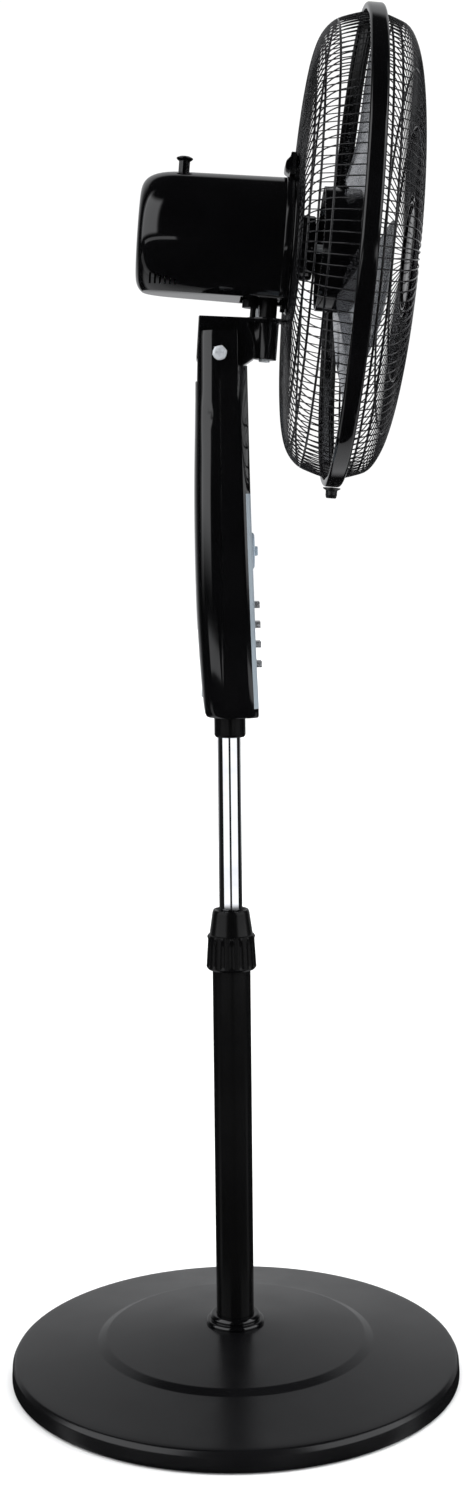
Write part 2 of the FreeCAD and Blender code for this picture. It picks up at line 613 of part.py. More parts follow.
def make_gearbox():
    side = "gearbox_half_width"
    box = block("gearbox_rear", "gearbox_front", "-" + side, side, "gearbox_bottom", "gearbox_top")
    room = block("gearbox_rear + gearbox_wall", "gearbox_front - gearbox_wall", "-%s + gearbox_wall" % side,
                 side + " - gearbox_wall", "gearbox_bottom + gearbox_wall", "gearbox_top - gearbox_wall")
    bores = [rod("shaft_radius + running_gap", "gearbox_front - 10", "gearbox_front + 1", along="X"),
             rod("crank_shaft_radius + shaft_gap", "gearbox_bottom - 1", "gearbox_bottom + 5", "knob_x"),
             rod("knob_stem_radius + running_gap", "gearbox_top - 5", "gearbox_top + 1", "knob_x")]
    keep(cut_away(box, [room] + bores), "gearbox", head_place)
    keep(joined([rod("crank_disc_radius", "crank_bottom", "crank_top", "knob_x"),
                 rod("crank_shaft_radius", "crank_top", "-9", "knob_x")]), "crank_disc", head_place)
    solid_feature("crank_gear", gear_shape(5.6, 6.6, 18, 6, size("crank_shaft_radius"),
                                           Vector(size("knob_x"), 0, -34)), head_place)
    stem = rod("knob_stem_radius", "14", "knob_cap_bottom", "knob_x")
    cap = rod("knob_cap_radius", "knob_cap_bottom", "knob_top", "knob_x")
    keep(joined([stem, cap]), "oscillation_knob", head_place)


def gear_shape(root, tip, teeth, width, bore, centre):
    """A spur gear with straight-sided teeth, on a vertical axis."""
    corners = []
    for tooth in range(teeth):
        for share, radius in ((0, root), (0.25, tip), (0.5, tip), (0.75, root)):
            turn = 2 * math.pi * (tooth + share) / teeth
            corners.append(centre + Vector(radius * math.cos(turn), radius * math.sin(turn), 0))
    blank = Part.Face(Part.makePolygon(corners + corners[:1])).extrude(Vector(0, 0, width))
    return blank.cut(Part.makeCylinder(bore, 3 * width, centre - Vector(0, 0, width)))


def make_yoke():
    column = rod("13", "-50", "-36", "pivot_x", "0")
    pivot = rod("8.2", "neck_top + 0.4", "-50", "pivot_x", "0")
    web = block("-89", "pivot_x", "-5", "5", "-56", "-48")
    boss = rod("7.5", "-58.2", "-47", "-88.6", "0")
    stop = rod("2.7", "-66.2", "-58.2", "-85.6", "0")
    yoke = cut_away(joined([column, pivot, web, boss, stop]),
                    [rod("motor_radius", "-90", "-60", along="X"),
                     rod("pivot_pin_radius", "-70", "-45", "pivot_x", "0"),
                     block("-62", "-50", "-20", "20", "-70", "-30")])
    keep(yoke, "motor_yoke", head_place)
    keep(group([rod("pivot_pin_radius", "-106", "-46.5", "pivot_x", "0")]), "pivot_pin", head_place)


# ---- guards ----

def wire_path(corners):
    """An open path through (distance along X, radius) corners, each inner corner rounded."""
    spots = [Vector(reach, 0, radius) for reach, radius, bend in corners]
    edges = []
    start = spots[0]
    for i in range(1, len(spots) - 1):
        first, middle, last = corner_arc(spots[i - 1], spots[i], spots[i + 1], corners[i][2])
        edges.append(Part.LineSegment(start, first).toShape())
        edges.append(Part.Arc(first, middle, last).toShape())
        start = last
    edges.append(Part.LineSegment(start, spots[-1]).toShape())
    return Part.Wire(edges)


def make_guard(name, corners, hoops, extra):
    """Radial wires, each its own solid, and the hoops that they are welded to."""
    path = wire_path(corners)
    first = Vector(corners[0][0], 0, corners[0][1])
    heading = path.Edges[0].tangentAt(path.Edges[0].FirstParameter)
    section = Part.Wire(Part.makeCircle(size("wire_radius"), first, heading))
    wire = path.makePipeShell([section], True, False)
    count = int(size("wire_count"))
    wires = []
    for number in range(count):
        turned_wire = wire.copy()
        turned_wire.rotate(Vector(), AXIS_X, 360.0 * (number + 0.5) / count)
        wires.append(turned_wire)
    solid_feature(name + "_wires", Part.makeCompound(wires), head_place)
    rings = [Part.makeTorus(radius, size("hoop_radius"), Vector(reach, 0, 0), AXIS_X)
             for reach, radius in hoops]
    solid_feature(name + "_rings", Part.makeCompound(rings + extra), head_place)


def make_guards():
    plate_front = size("plate_front")
    hub_ring = turned_shape([(plate_front + 0.1, size("nose_radius") + 1), (plate_front + 0.1, 66.5),
                             (plate_front + 1.8, 66.5), (plate_front + 1.8, size("nose_radius") + 1)])
    make_guard("rear_guard", [(-49, 67.8, 0), (-55.5, 80, 12), (-54.5, 116, 60), (-50, 166, 60),
                              (-33, 198, 16), (-9, 206, 14), (-4.6, 207.3, 0)],
               [(-4.1, 210.3), (-51.5, 116), (-46.5, 161)], [hub_ring])
    make_guard("front_guard", [(56, 55.4, 0), (53.6, 114, 120), (46.2, 166, 60), (33.6, 198.5, 16),
                               (9, 206, 14), (4.6, 207.3, 0)],
               [(4.1, 210.3), (50.8, 114), (42.9, 163)], [])
    half = "ring_half_width"
    inner_half = "ring_half_width - ring_wall"
    inner = "ring_radius - ring_wall"
    turned("guard_ring", [("ring_flange_radius", "-" + half), ("ring_radius", "-" + half),
                          ("ring_radius", half), ("ring_flange_radius", half),
                          ("ring_flange_radius", inner_half), (inner, inner_half),
                          (inner, "-(%s)" % inner_half), ("ring_flange_radius", "-(%s)" % inner_half)],
           head_place, "X", [("ring_radius", half, "1.8"), ("ring_radius", "-" + half, "1.8")])
    turned("front_badge", [("0", "51.8"), ("badge_radius", "51.8"), ("badge_radius", "55.4"),
                           ("badge_radius - 3", "57.2"), ("0", "58")], head_place, "X")
    clip = joined([rod("clip_radius", "clip_bottom", "-ring_radius - 1.2", "0", "0"),
                   rod("clip_radius + 2.7", "-ring_radius - 1.8", "-ring_radius - 0.1", "0", "0")])
    keep(clip, "guard_clip", head_place)
    disc = cut_away(joined([rod("plate_radius", "plate_rear", "plate_front", along="X"),
                            rod("40", "-61.9", "plate_rear", along="X"),
                            block("plate_rear", "-48.3", "-lug_nose", "lug_nose", "66.6", "lug_top"),
                            block("plate_rear", "plate_front", "-16", "16", "50", "66.6"),
                            block("-62", "plate_rear", "-16", "16", "61.5", "lug_top"),
                            rod("6.5", "-16", "16", "-60", "70", "Y")]),
                    [rod("nose_radius", "-63", "-40", along="X")])
    keep(disc, "guard_plate", head_place)
    nut = cut_away(rod("guard_nut_radius", "plate_front + 1.9", "nose_front + 0.5", along="X"),
                   [rod("nose_radius + 0.05", "-60", "-30", along="X")])
    keep(nut, "guard_nut", head_place)


# ---- rotor ----

def blade_section(radius, chord, pitch, shift, centre_x):
    """A thin curved section across a blade at one radius, as a closed wire of four edges."""
    half = chord / 2.0
    thick = size("blade_thickness") / 2
    camber = chord * 0.05
    turn = math.radians(pitch)
    lines = []
    for side in (thick, -thick):
        spots = []
        for along, rise in ((-half, 0), (0, camber), (half, 0)):
            level = rise + side
            spots.append(Vector(centre_x + along * math.sin(turn) + level * math.cos(turn),
                                shift + along * math.cos(turn) - level * math.sin(turn), radius))
        lines.append(spots)
    upper, lower = lines
    return Part.Wire([Part.Arc(*upper).toShape(), Part.LineSegment(upper[2], lower[2]).toShape(),
                      Part.Arc(*reversed(lower)).toShape(), Part.LineSegment(lower[0], upper[0]).toShape()])


def make_rotor():
    turned("motor_shaft", [("0", "-166"), ("5.5", "-166"), ("5.5", "-153"), ("shaft_radius", "-153"),
                           ("shaft_radius", "hub_front + 13"), ("0", "hub_front + 13")], head_place, "X")
    turned("rotor_core", pipe_outline("rotor_radius", "shaft_radius", "stator_rear", "stator_front"),
           head_place, "X")
    wide = size("hub_radius")
    wall = size("hub_wall")
    bore = size("shaft_radius")
    front = size("hub_front")
    rear = size("hub_rear")
    hub = turned_shape([(rear + 6, bore), (rear + 6, 10), (front - wall, 10), (front - wall, wide - wall),
                        (rear, wide - wall), (rear, wide), (front - 4, wide), (front, wide - 4),
                        (front, bore)])
    sections = [blade_section(54.5, 50, 30, 0, -3), blade_section(92, 105, 15.5, 6, 8),
                blade_section(140, 145, 11.5, 12, 10), blade_section(176, 130, 10, 14, 11),
                blade_section(195, 80, 9, 16, 11)]
    blade = Part.makeLoft(sections, True, False)
    count = int(size("blade_count"))
    blades = []
    for number in range(count):
        turned_blade = blade.copy()
        turned_blade.rotate(Vector(), AXIS_X, 360.0 * number / count)
        blades.append(turned_blade)
    solid_feature("fan_blade", hub.multiFuse(blades), head_place)
    turned("blade_nut", [("shaft_radius", "hub_front + 0.1"), ("15", "hub_front + 0.1"),
                         ("13", "hub_front + 9"), ("8", "hub_front + 14"),
                         ("shaft_radius", "hub_front + 14")], head_place, "X")


# ---- checks and export ----

def export_parts():
    doc.recompute()
    broken = [part.Name for part in doc.Objects if "Invalid" in part.State or "Error" in part.State]
    for node in subparts:
        if node.Shape.isNull() or not node.Shape.isValid() or not node.Shape.Solids:
            broken.append(node.Label)
    if broken:
        raise RuntimeError("failed: " + ", ".join(broken))
    os.makedirs("parts", exist_ok=True)
    for node in subparts:
        node.Shape.exportStep("parts/%s.step" % node.Label)
    print(len(subparts), "sub-parts written")


make_base()
make_pole()
make_mast()
make_housing()
make_timer_dial()
make_neck()
make_link()
make_motor()
make_guards()
make_rotor()
export_parts()
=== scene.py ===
import json
import math

import bmesh
import bpy
from mathutils import Matrix, Vector


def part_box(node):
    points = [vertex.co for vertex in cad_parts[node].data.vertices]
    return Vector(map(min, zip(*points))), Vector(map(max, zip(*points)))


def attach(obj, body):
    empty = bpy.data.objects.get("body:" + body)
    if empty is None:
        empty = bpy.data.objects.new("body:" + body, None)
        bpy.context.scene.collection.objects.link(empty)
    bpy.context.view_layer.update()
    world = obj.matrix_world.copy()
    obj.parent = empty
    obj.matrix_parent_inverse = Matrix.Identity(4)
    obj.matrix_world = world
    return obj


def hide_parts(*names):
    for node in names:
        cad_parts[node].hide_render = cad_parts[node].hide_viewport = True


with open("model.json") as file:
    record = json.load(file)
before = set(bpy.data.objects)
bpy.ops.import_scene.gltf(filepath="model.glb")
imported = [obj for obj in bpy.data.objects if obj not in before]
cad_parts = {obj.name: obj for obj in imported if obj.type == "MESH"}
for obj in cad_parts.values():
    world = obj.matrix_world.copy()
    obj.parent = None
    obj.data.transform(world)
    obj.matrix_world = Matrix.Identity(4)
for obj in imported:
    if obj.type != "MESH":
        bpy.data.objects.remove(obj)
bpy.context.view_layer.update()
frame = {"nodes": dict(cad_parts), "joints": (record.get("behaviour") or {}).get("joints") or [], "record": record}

# Looks of the pedestal fan. Lengths in the outlines below are millimetres in the CAD frame:
# pole parts stand on Z, and head parts are drawn in the head's own frame, whose X is the motor axis.

MM = 0.001
scene = bpy.context.scene


# ---- places read from the frame ----

def joint(name):
    return next(j for j in frame["joints"] if j["name"] == name)


def across_frame(origin, forward):
    """A frame with X forward and Y along world Y."""
    forward = Vector(forward).normalized()
    side = Vector((0, 1, 0))
    up = forward.cross(side)
    turn = Matrix((forward, side, up)).transposed().to_4x4()
    return Matrix.Translation(Vector(origin)) @ turn


POLE = Matrix.Identity(4)
HEAD = across_frame(joint("fan_spin")["pos_m"], joint("fan_spin")["axis"])


# ---- mesh helpers ----

def piece_from(name, verts, faces, place=POLE, smooth=35):
    """A mesh piece from millimetre points, smooth except at edges sharper than an angle."""
    mesh = bpy.data.meshes.new(name)
    mesh.from_pydata([place @ (Vector(v) * MM) for v in verts], [], faces)
    piece = bpy.data.objects.new(name, mesh)
    scene.collection.objects.link(piece)
    finish_normals(piece, smooth)
    return piece


def finish_normals(piece, smooth=35):
    """Merge doubles, point normals outwards and shade smooth up to an angle."""
    work = bmesh.new()
    work.from_mesh(piece.data)
    bmesh.ops.remove_doubles(work, verts=work.verts, dist=1e-6)
    bmesh.ops.recalc_face_normals(work, faces=work.faces)
    work.to_mesh(piece.data)
    work.free()
    piece.data.shade_smooth()
    piece.data.set_sharp_from_angle(angle=math.radians(smooth))


def settle(piece, smooth=35):
    """Apply a piece's modifiers to its mesh."""
    graph = bpy.context.evaluated_depsgraph_get()
    graph.update()
    piece.data = bpy.data.meshes.new_from_object(piece.evaluated_get(graph))
    piece.modifiers.clear()
    finish_normals(piece, smooth)
    return piece


def combine(piece, tools, operation="DIFFERENCE"):
    """Cut, join or keep the overlap of a piece with each tool, and remove the tools."""
    for tool in tools:
        step = piece.modifiers.new("step", "BOOLEAN")
        step.operation = operation
        step.solver = "EXACT"
        step.object = tool
        settle(piece)
        bpy.data.objects.remove(tool)
    return piece


def soften(piece, width, segments=2, angle=40, smooth=35):
    """Round a piece's sharp edges by a width in millimetres."""
    step = piece.modifiers.new("soften", "BEVEL")
    step.width = width * MM
    step.segments = segments
    step.limit_method = "ANGLE"
    step.angle_limit = math.radians(angle)
    step.use_clamp_overlap = True
    return settle(piece, smooth)


def rounded(outline, radius=1.0, steps=4):
    """An outline with each corner replaced by an arc. A corner's third number is its own radius."""
    points = []
    count = len(outline)
    for i, corner in enumerate(outline):
        here = Vector(corner[:2])
        bend = corner[2] if len(corner) > 2 else radius
        if bend <= 0:
            points.append(tuple(here))
            continue
        back = Vector(outline[i - 1][:2]) - here
        ahead = Vector(outline[(i + 1) % count][:2]) - here
        half = back.angle(ahead) / 2
        if half > math.radians(88):
            points.append(tuple(here))
            continue
        room = [0.47 if len(n) < 3 or n[2] > 0 else 0.97 for n in (outline[i - 1], outline[(i + 1) % count])]
        reach = min(bend / math.tan(half), room[0] * back.length, room[1] * ahead.length)
        bend = reach * math.tan(half)
        middle = (back.normalized() + ahead.normalized()).normalized()
        centre = here + middle * (bend / math.sin(half))
        start = here + back.normalized() * reach - centre
        end = here + ahead.normalized() * reach - centre
        turn = start.angle_signed(end)
        for step in range(steps + 1):
            angle = -turn * step / steps
            c, s = math.cos(angle), math.sin(angle)
            points.append((centre.x + start.x * c - start.y * s, centre.y + start.x * s + start.y * c))
    return points


def lathe(name, outline, place=POLE, along="Z", turns=128, wave=None, smooth=35):
    """A solid turned from an outline of (radius, reach). wave(angle, radius, reach) may move the radius."""
    verts = []
    rings = []
    for radius, reach in outline:
        steps = turns if radius > 0.01 else 1
        rings.append(range(len(verts), len(verts) + steps))
        for turn in range(steps):
            angle = 2 * math.pi * turn / turns
            out = wave(angle, radius, reach) if wave and steps > 1 else radius
            c, s = out * math.cos(angle), out * math.sin(angle)
            verts.append((c, s, reach) if along == "Z" else (reach, c, s))
    faces = []
    for i, ring in enumerate(rings):
        other = rings[(i + 1) % len(rings)]
        for turn in range(turns):
            following = (turn + 1) % turns
            corners = [ring[turn % len(ring)], other[turn % len(other)],
                       other[following % len(other)], ring[following % len(ring)]]
            corners = list(dict.fromkeys(corners))
            if len(corners) > 2:
                faces.append(corners)
    return piece_from(name, verts, faces, place, smooth)


def loft(name, sections, place=POLE, smooth=35):
    """A closed skin over sections that have the same number of points."""
    count = len(sections[0])
    verts = [point for section in sections for point in section]
    faces = [tuple(range(count)), tuple(range(len(verts) - count, len(verts)))]
    for level in range(len(sections) - 1):
        for i in range(count):
            j = (i + 1) % count
            low = level * count
            faces.append((low + i, low + j, low + count + j, low + count + i))
    return piece_from(name, verts, faces, place, smooth)


def prism(name, outline, low, high, place=POLE, along="Y"):
    """An outline pushed from low to high. Its two numbers are X and Z, or Y and Z if pushed along X."""
    spots = {"Y": lambda a, b, c: (a, c, b), "X": lambda a, b, c: (c, a, b), "Z": lambda a, b, c: (a, b, c)}
    return loft(name, [[spots[along](a, b, level) for a, b in outline] for level in (low, high)], place)


def block(name, low, high, place=POLE):
    """A box between two corners."""
    outline = [(low[0], low[2]), (high[0], low[2]), (high[0], high[2]), (low[0], high[2])]
    return prism(name, outline, low[1], high[1], place)


def rod(name, radius, low, high, centre=(0, 0), place=POLE, along="Z", sides=48):
    """A cylinder. centre is its two other coordinates, in X, Y, Z order."""
    ring = [(centre[0] + radius * math.cos(2 * math.pi * i / sides),
             centre[1] + radius * math.sin(2 * math.pi * i / sides)) for i in range(sides)]
    return prism(name, ring, low, high, place, along)


def tube_along(path, radius, sides=6):
    """Points and faces of a round tube that follows a path lying in the X-Z plane."""
    verts = []
    faces = []
    last = len(path) - 1
    side = Vector((0, 1, 0))
    for i, point in enumerate(path):
        heading = (Vector(path[min(i + 1, last)]) - Vector(path[max(i - 1, 0)])).normalized()
        up = heading.cross(side).normalized()
        for step in range(sides):
            angle = 2 * math.pi * step / sides
            verts.append(Vector(point) + radius * (math.cos(angle) * side + math.sin(angle) * up))
    for i in range(last):
        low, high = i * sides, (i + 1) * sides
        for step in range(sides):
            following = (step + 1) % sides
            faces.append((low + step, low + following, high + following, high + step))
    faces.append(tuple(range(sides)))
    faces.append(tuple(range(last * sides, (last + 1) * sides)))
    return verts, faces


# ---- materials ----

class Shader:
    """A Principled material with the few node chains that the fan's materials share."""

    def __init__(self, name, metallic=0.0):
        self.material = bpy.data.materials.new(name)
        self.material.use_nodes = True
        self.tree = self.material.node_tree
        self.surface = self.tree.nodes["Principled BSDF"]
        self.surface.inputs["Metallic"].default_value = metallic
        self.place = self.node("ShaderNodeTexCoord").outputs["Object"]

    def node(self, kind, **settings):
        made = self.tree.nodes.new(kind)
        for key, value in settings.items():
            setattr(made, key, value)
        return made

    def link(self, source, target):
        self.tree.links.new(source, target)

    def noise(self, scale, detail=3.0, stretch=None):
        """A noise over the piece, in cycles per metre, that may be stretched along one axis."""
        texture = self.node("ShaderNodeTexNoise")
        texture.inputs["Scale"].default_value = scale
        texture.inputs["Detail"].default_value = detail
        place = self.place
        if stretch:
            mapping = self.node("ShaderNodeMapping")
            mapping.inputs["Scale"].default_value = stretch
            self.link(place, mapping.inputs["Vector"])
            place = mapping.outputs["Vector"]
        self.link(place, texture.inputs["Vector"])
        return texture.outputs["Fac"]

    def spread(self, source, low, high, start=0.35, end=0.65):
        """Map a noise to a range."""
        reach = self.node("ShaderNodeMapRange")
        for name, value in (("From Min", start), ("From Max", end), ("To Min", low), ("To Max", high)):
            reach.inputs[name].default_value = value
        self.link(source, reach.inputs["Value"])
        return reach.outputs["Result"]

    def tint(self, source, first, second):
        """Blend two colours by a value."""
        mix = self.node("ShaderNodeMix", data_type="RGBA")
        mix.inputs["A"].default_value = (*first, 1)
        mix.inputs["B"].default_value = (*second, 1)
        self.link(source, mix.inputs["Factor"])
        return mix.outputs["Result"]

    def worn(self, base, edge, amount):
        """Blend a colour towards a lighter one where the surface turns sharply."""
        shape = self.node("ShaderNodeNewGeometry").outputs["Pointiness"]
        factor = self.spread(shape, 0.0, amount, 0.52, 0.62)
        mix = self.node("ShaderNodeMix", data_type="RGBA")
        mix.inputs["B"].default_value = (*edge, 1)
        self.link(factor, mix.inputs["Factor"])
        self.link(base, mix.inputs["A"])
        return mix.outputs["Result"]

    def bump(self, source, depth, under=None):
        """A bump of a depth in millimetres."""
        made = self.node("ShaderNodeBump")
        made.inputs["Distance"].default_value = depth * MM
        self.link(source, made.inputs["Height"])
        if under:
            self.link(under, made.inputs["Normal"])
        return made.outputs["Normal"]

    def set(self, **sockets):
        for name, value in sockets.items():
            self.surface.inputs[name.replace("_", " ")].default_value = value
        return self

    def coat_of(self, colour, rough, normal):
        self.link(colour, self.surface.inputs["Base Color"])
        self.link(rough, self.surface.inputs["Roughness"])
        self.link(normal, self.surface.inputs["Normal"])
        return self.material


def plastic(name, colour, rough, grain=2500, depth=0.01, spread=0.06, wear=0.15, shine=0.5):
    """Moulded plastic: fine grain, slow changes of gloss and paler worn edges."""
    made = Shader(name)
    made.set(Specular_IOR_Level=shine)
    lighter = tuple(min(1, c * 1.35 + 0.0008) for c in colour)
    worn = tuple(min(1, c * 1.6 + 0.02) for c in colour)
    base = made.tint(made.spread(made.noise(9), 0, 1), colour, lighter)
    base = made.worn(base, worn, wear)
    gloss = made.spread(made.noise(22, 5), rough - spread, rough + spread)
    normal = made.bump(made.noise(grain, 2), depth)
    return made.coat_of(base, gloss, normal)


def metal(name, colour, rough, stretch=(1, 1, 1), grain=900, depth=0.01, spread=0.05, metallic=1.0):
    """Metal with fine marks, drawn out along the direction that it was worked in."""
    made = Shader(name, metallic)
    darker = tuple(c * 0.82 for c in colour)
    base = made.tint(made.spread(made.noise(35, 4), 0, 1), darker, colour)
    gloss = made.spread(made.noise(60, 6, stretch), rough - spread, rough + spread)
    normal = made.bump(made.noise(grain, 2, stretch), depth)
    return made.coat_of(base, gloss, normal)


def smoky_plastic():
    """Clear grey moulded plastic of the blades."""
    made = Shader("smoky_plastic")
    clouds = made.spread(made.noise(14, 2, (0.4, 1, 3)), 0, 1)
    base = made.tint(clouds, (0.30, 0.31, 0.33), (0.42, 0.43, 0.45))
    gloss = made.spread(made.noise(30), 0.08, 0.18)
    normal = made.bump(made.noise(60, 2, (1, 1, 0.3)), 0.15)
    made.set(Transmission_Weight=0.9, IOR=1.3)
    return made.coat_of(base, gloss, normal)


def stacked_steel():
    """Thin steel sheets stacked along the motor axis."""
    made = Shader("stacked_steel", 0.9)
    wave = made.node("ShaderNodeTexWave", wave_type="BANDS", bands_direction="X")
    wave.inputs["Scale"].default_value = 320
    made.link(made.place, wave.inputs["Vector"])
    sheets = wave.outputs["Fac"]
    base = made.tint(sheets, (0.16, 0.16, 0.17), (0.42, 0.42, 0.43))
    return made.coat_of(base, made.spread(made.noise(50), 0.32, 0.5), made.bump(sheets, 0.15))


def wound_copper():
    """Enamelled wire, wound round the motor axis."""
    made = Shader("wound_copper", 0.8)
    wave = made.node("ShaderNodeTexWave", wave_type="RINGS", rings_direction="X")
    wave.inputs["Scale"].default_value = 260
    made.link(made.place, wave.inputs["Vector"])
    turns = wave.outputs["Fac"]
    base = made.tint(turns, (0.22, 0.08, 0.03), (0.62, 0.28, 0.13))
    return made.coat_of(base, made.spread(made.noise(50), 0.25, 0.4), made.bump(turns, 0.3))


GLOSS_BLACK = plastic("gloss_black", (0.001, 0.001, 0.0012), 0.07, 1400, 0.004, 0.03, 0.02)
SATIN_BLACK = plastic("satin_black", (0.0025, 0.0025, 0.0028), 0.3, 1800, 0.02, 0.05, 0.08)
BASE_BLACK = plastic("base_black", (0.002, 0.002, 0.0023), 0.24, 1500, 0.03, 0.03, 0.04, 0.4)
TUBE_PAINT = plastic("tube_paint", (0.001, 0.001, 0.0011), 0.2, 1600, 0.012, 0.05, 0.05, 0.12)
GRIP_BLACK = plastic("grip_black", (0.001, 0.001, 0.0011), 0.24, 1800, 0.02, 0.05, 0.08, 0.14)
WIRE_COAT = plastic("wire_coat", (0.003, 0.003, 0.0035), 0.16, 2500, 0.01, 0.06, 0.02)
RUBBER = plastic("rubber", (0.02, 0.02, 0.02), 0.75, 1200, 0.06, 0.08, 0.2)
CHROME = metal("chrome", (0.86, 0.87, 0.89), 0.02, (1, 1, 0.03), 1200, 0.0005, 0.01)
ZINC = metal("zinc", (0.8, 0.83, 0.86), 0.4, (1, 1, 1), 1500, 0.02, 0.08, 0.55)
CAST = metal("cast_aluminium", (0.55, 0.56, 0.57), 0.5, (1, 1, 1), 700, 0.12)
IRON = metal("cast_iron", (0.1, 0.1, 0.1), 0.6, (1, 1, 1), 500, 0.2, 0.1, 0.8)
BRONZE = metal("bronze", (0.5, 0.33, 0.17), 0.4, (1, 1, 1), 900, 0.05)
PANEL_GREY = plastic("panel_grey", (0.17, 0.2, 0.225), 0.3, 1500, 0.02, 0.05, 0.2)
DIAL_GREY = plastic("dial_grey", (0.24, 0.29, 0.34), 0.35, 1500, 0.02, 0.05, 0.2)
SILVER_KEY = metal("silver_key", (0.6, 0.61, 0.63), 0.25, (1, 1, 1), 1500, 0.01, 0.05, 0.85)
NYLON = plastic("nylon", (0.6, 0.6, 0.57), 0.5, 1500, 0.03, 0.06, 0.2)
SMOKE = smoky_plastic()
LAMINATIONS = stacked_steel()
COPPER = wound_copper()

NODE_MATERIAL = {
    "satin_black": SATIN_BLACK, "gloss_black": GLOSS_BLACK, "black_paint": TUBE_PAINT, "ballast": IRON,
    "foot_rubber": RUBBER, "chrome": CHROME, "zinc_steel": ZINC, "laminations": LAMINATIONS,
    "copper": COPPER, "bronze": BRONZE, "cast_aluminium": CAST, "grey_panel": PANEL_GREY,
    "silver_key": SILVER_KEY, "dial_grey": DIAL_GREY, "nylon": NYLON, "smoke_plastic": SMOKE,
}

for subpart in frame["record"]["subparts"]:
    node = frame["nodes"][subpart["node"]]
    node.data.materials.clear()
    node.data.materials.append(NODE_MATERIAL[subpart["material_slot"]])


def place_piece(piece, material, body, slot, *nodes):
    """Give a finished piece its material and body, and hide the CAD nodes that it stands for. The slot is not
    used.
    """
    piece.data.materials.clear()
    piece.data.materials.append(material)
    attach(piece, body)
    if nodes:
        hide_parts(*nodes)
    return piece


# ---- base and pole ----

def make_base():
    outer = [(217.9, 1.4, 1), (218, 5.0, 3), (217.2, 15.6, 3), (214.8, 20.3, 3.5), (209, 21.4, 6),
             (202, 22.4, 16), (134.6, 32.9, 6), (126, 36.8, 7), (80, 43.0, 200), (30, 48.1, 10),
             (18.7, 48.2, 0.3)]
    inner = [(18.7, 45.8, 0), (30, 45.6, 5), (80, 40.5, 100), (125, 34.2, 5), (133.6, 30.3, 5),
             (201, 19.8, 9), (208, 18.6, 4), (213.6, 17, 2.5), (215.4, 5.5, 1), (215.6, 1.4, 0.5)]
    disc = lathe("base_disc", rounded(outer + inner, steps=6), turns=192)
    place_piece(disc, BASE_BLACK, "base", "satin_black", "base_cover")
    flange = lathe("pole_collar", rounded([(18.25, 47.8, 0), (27.9, 47.8, 0.3), (28.2, 50.4, 1.8),
                                           (27.2, 52.4, 1.6), (24.2, 52.6, 0.5), (24.2, 53.2, 0.5),
                                           (25, 55.4, 1.6), (22.6, 58.1, 1.8), (18.25, 58.1, 0.4)], steps=5))
    place_piece(flange, GLOSS_BLACK, "base", "satin_black", "pole_flange")


FLUTES = 16


def collar_wave(angle, radius, reach):
    """Finger flutes round the lower half of the height collar, each under a small raised dot."""
    if radius < 19:
        return radius
    share = math.cos(FLUTES * angle)
    low, high = 402.5, 429.5
    if low < reach < high:
        rise = min(1, (reach - low) / 2.5, (high - reach) / 4)
        radius -= 0.85 * rise * max(0.0, share) ** 0.7
    spot = ((angle * FLUTES / (2 * math.pi) + 0.5) % 1 - 0.5) * 2 * math.pi / FLUTES * radius
    away = (spot ** 2 + (reach - 431.6) ** 2) / 1.2 ** 2
    return radius + 0.9 * math.exp(-away)


def make_collar():
    outer = [(18.6, 400.2, 0.4), (22.2, 400.2, 0.8), (24, 402.4, 1.2)]
    outer += [(24 - 1.9 * (z - 402.4) / 30.6, z, 0) for z in range(403, 433)]
    outer += [(22.1, 433.4, 0.6), (20.7, 434.2, 0.4), (17.7, 455, 1.2), (16.6, 457.9, 1.4),
              (14.8, 457.4, 1.4), (12.2, 455.5, 1)]
    inner = [(11.6, 453, 0.3), (11.6, 450, 0.3), (13.9, 447, 0.3), (15.9, 438, 0.3), (15.9, 411.2, 0.3),
             (18.6, 411.2, 0.3)]
    collar = lathe("height_grip", rounded(outer + inner, steps=4), turns=FLUTES * 18, wave=collar_wave)
    place_piece(collar, GRIP_BLACK, "collar", "satin_black", "height_collar")


# ---- control housing ----

STATIONS = [  # height, rear edge, front edge, half width
    (643, -22, 27.6, 33), (658, -24, 27.4, 34.5), (696, -26.8, 25.8, 36.5), (752, -29.4, 24.2, 37),
    (845, -30, 21.8, 35.5), (937, -27.9, 20.3, 31.5), (998, -27, 19.6, 28.5),
]
WALL = 2.4
SEAM = -5.2
SLOT_HALF, SLOT_FLOOR = 16.8, 953
CHEEK_FRONT, FRONT_TOP = 11.2, 966
TILT_AXIS = (-5.2, 977.3)


def station(height):
    """Rear, front and half width at a height, along a smooth curve through the stations."""
    height = min(max(height, STATIONS[0][0]), STATIONS[-1][0])
    i = next(k for k in range(1, len(STATIONS)) if height <= STATIONS[k][0])
    low, high = STATIONS[i - 1], STATIONS[i]
    before, after = STATIONS[max(i - 2, 0)], STATIONS[min(i + 1, len(STATIONS) - 1)]
    share = (height - low[0]) / (high[0] - low[0])
    spots = []
    for k in (1, 2, 3):
        span = high[0] - low[0]
        slope_low = (high[k] - before[k]) / max(high[0] - before[0], 1) * span
        slope_high = (after[k] - low[k]) / max(after[0] - low[0], 1) * span
        t, t2, t3 = share, share ** 2, share ** 3
        spots.append((2 * t3 - 3 * t2 + 1) * low[k] + (t3 - 2 * t2 + t) * slope_low
                     + (3 * t2 - 2 * t3) * high[k] + (t3 - t2) * slope_high)
    return spots


def ease(value, low, high):
    share = min(max((value - low) / (high - low), 0.0), 1.0)
    return share * share * (3 - 2 * share)


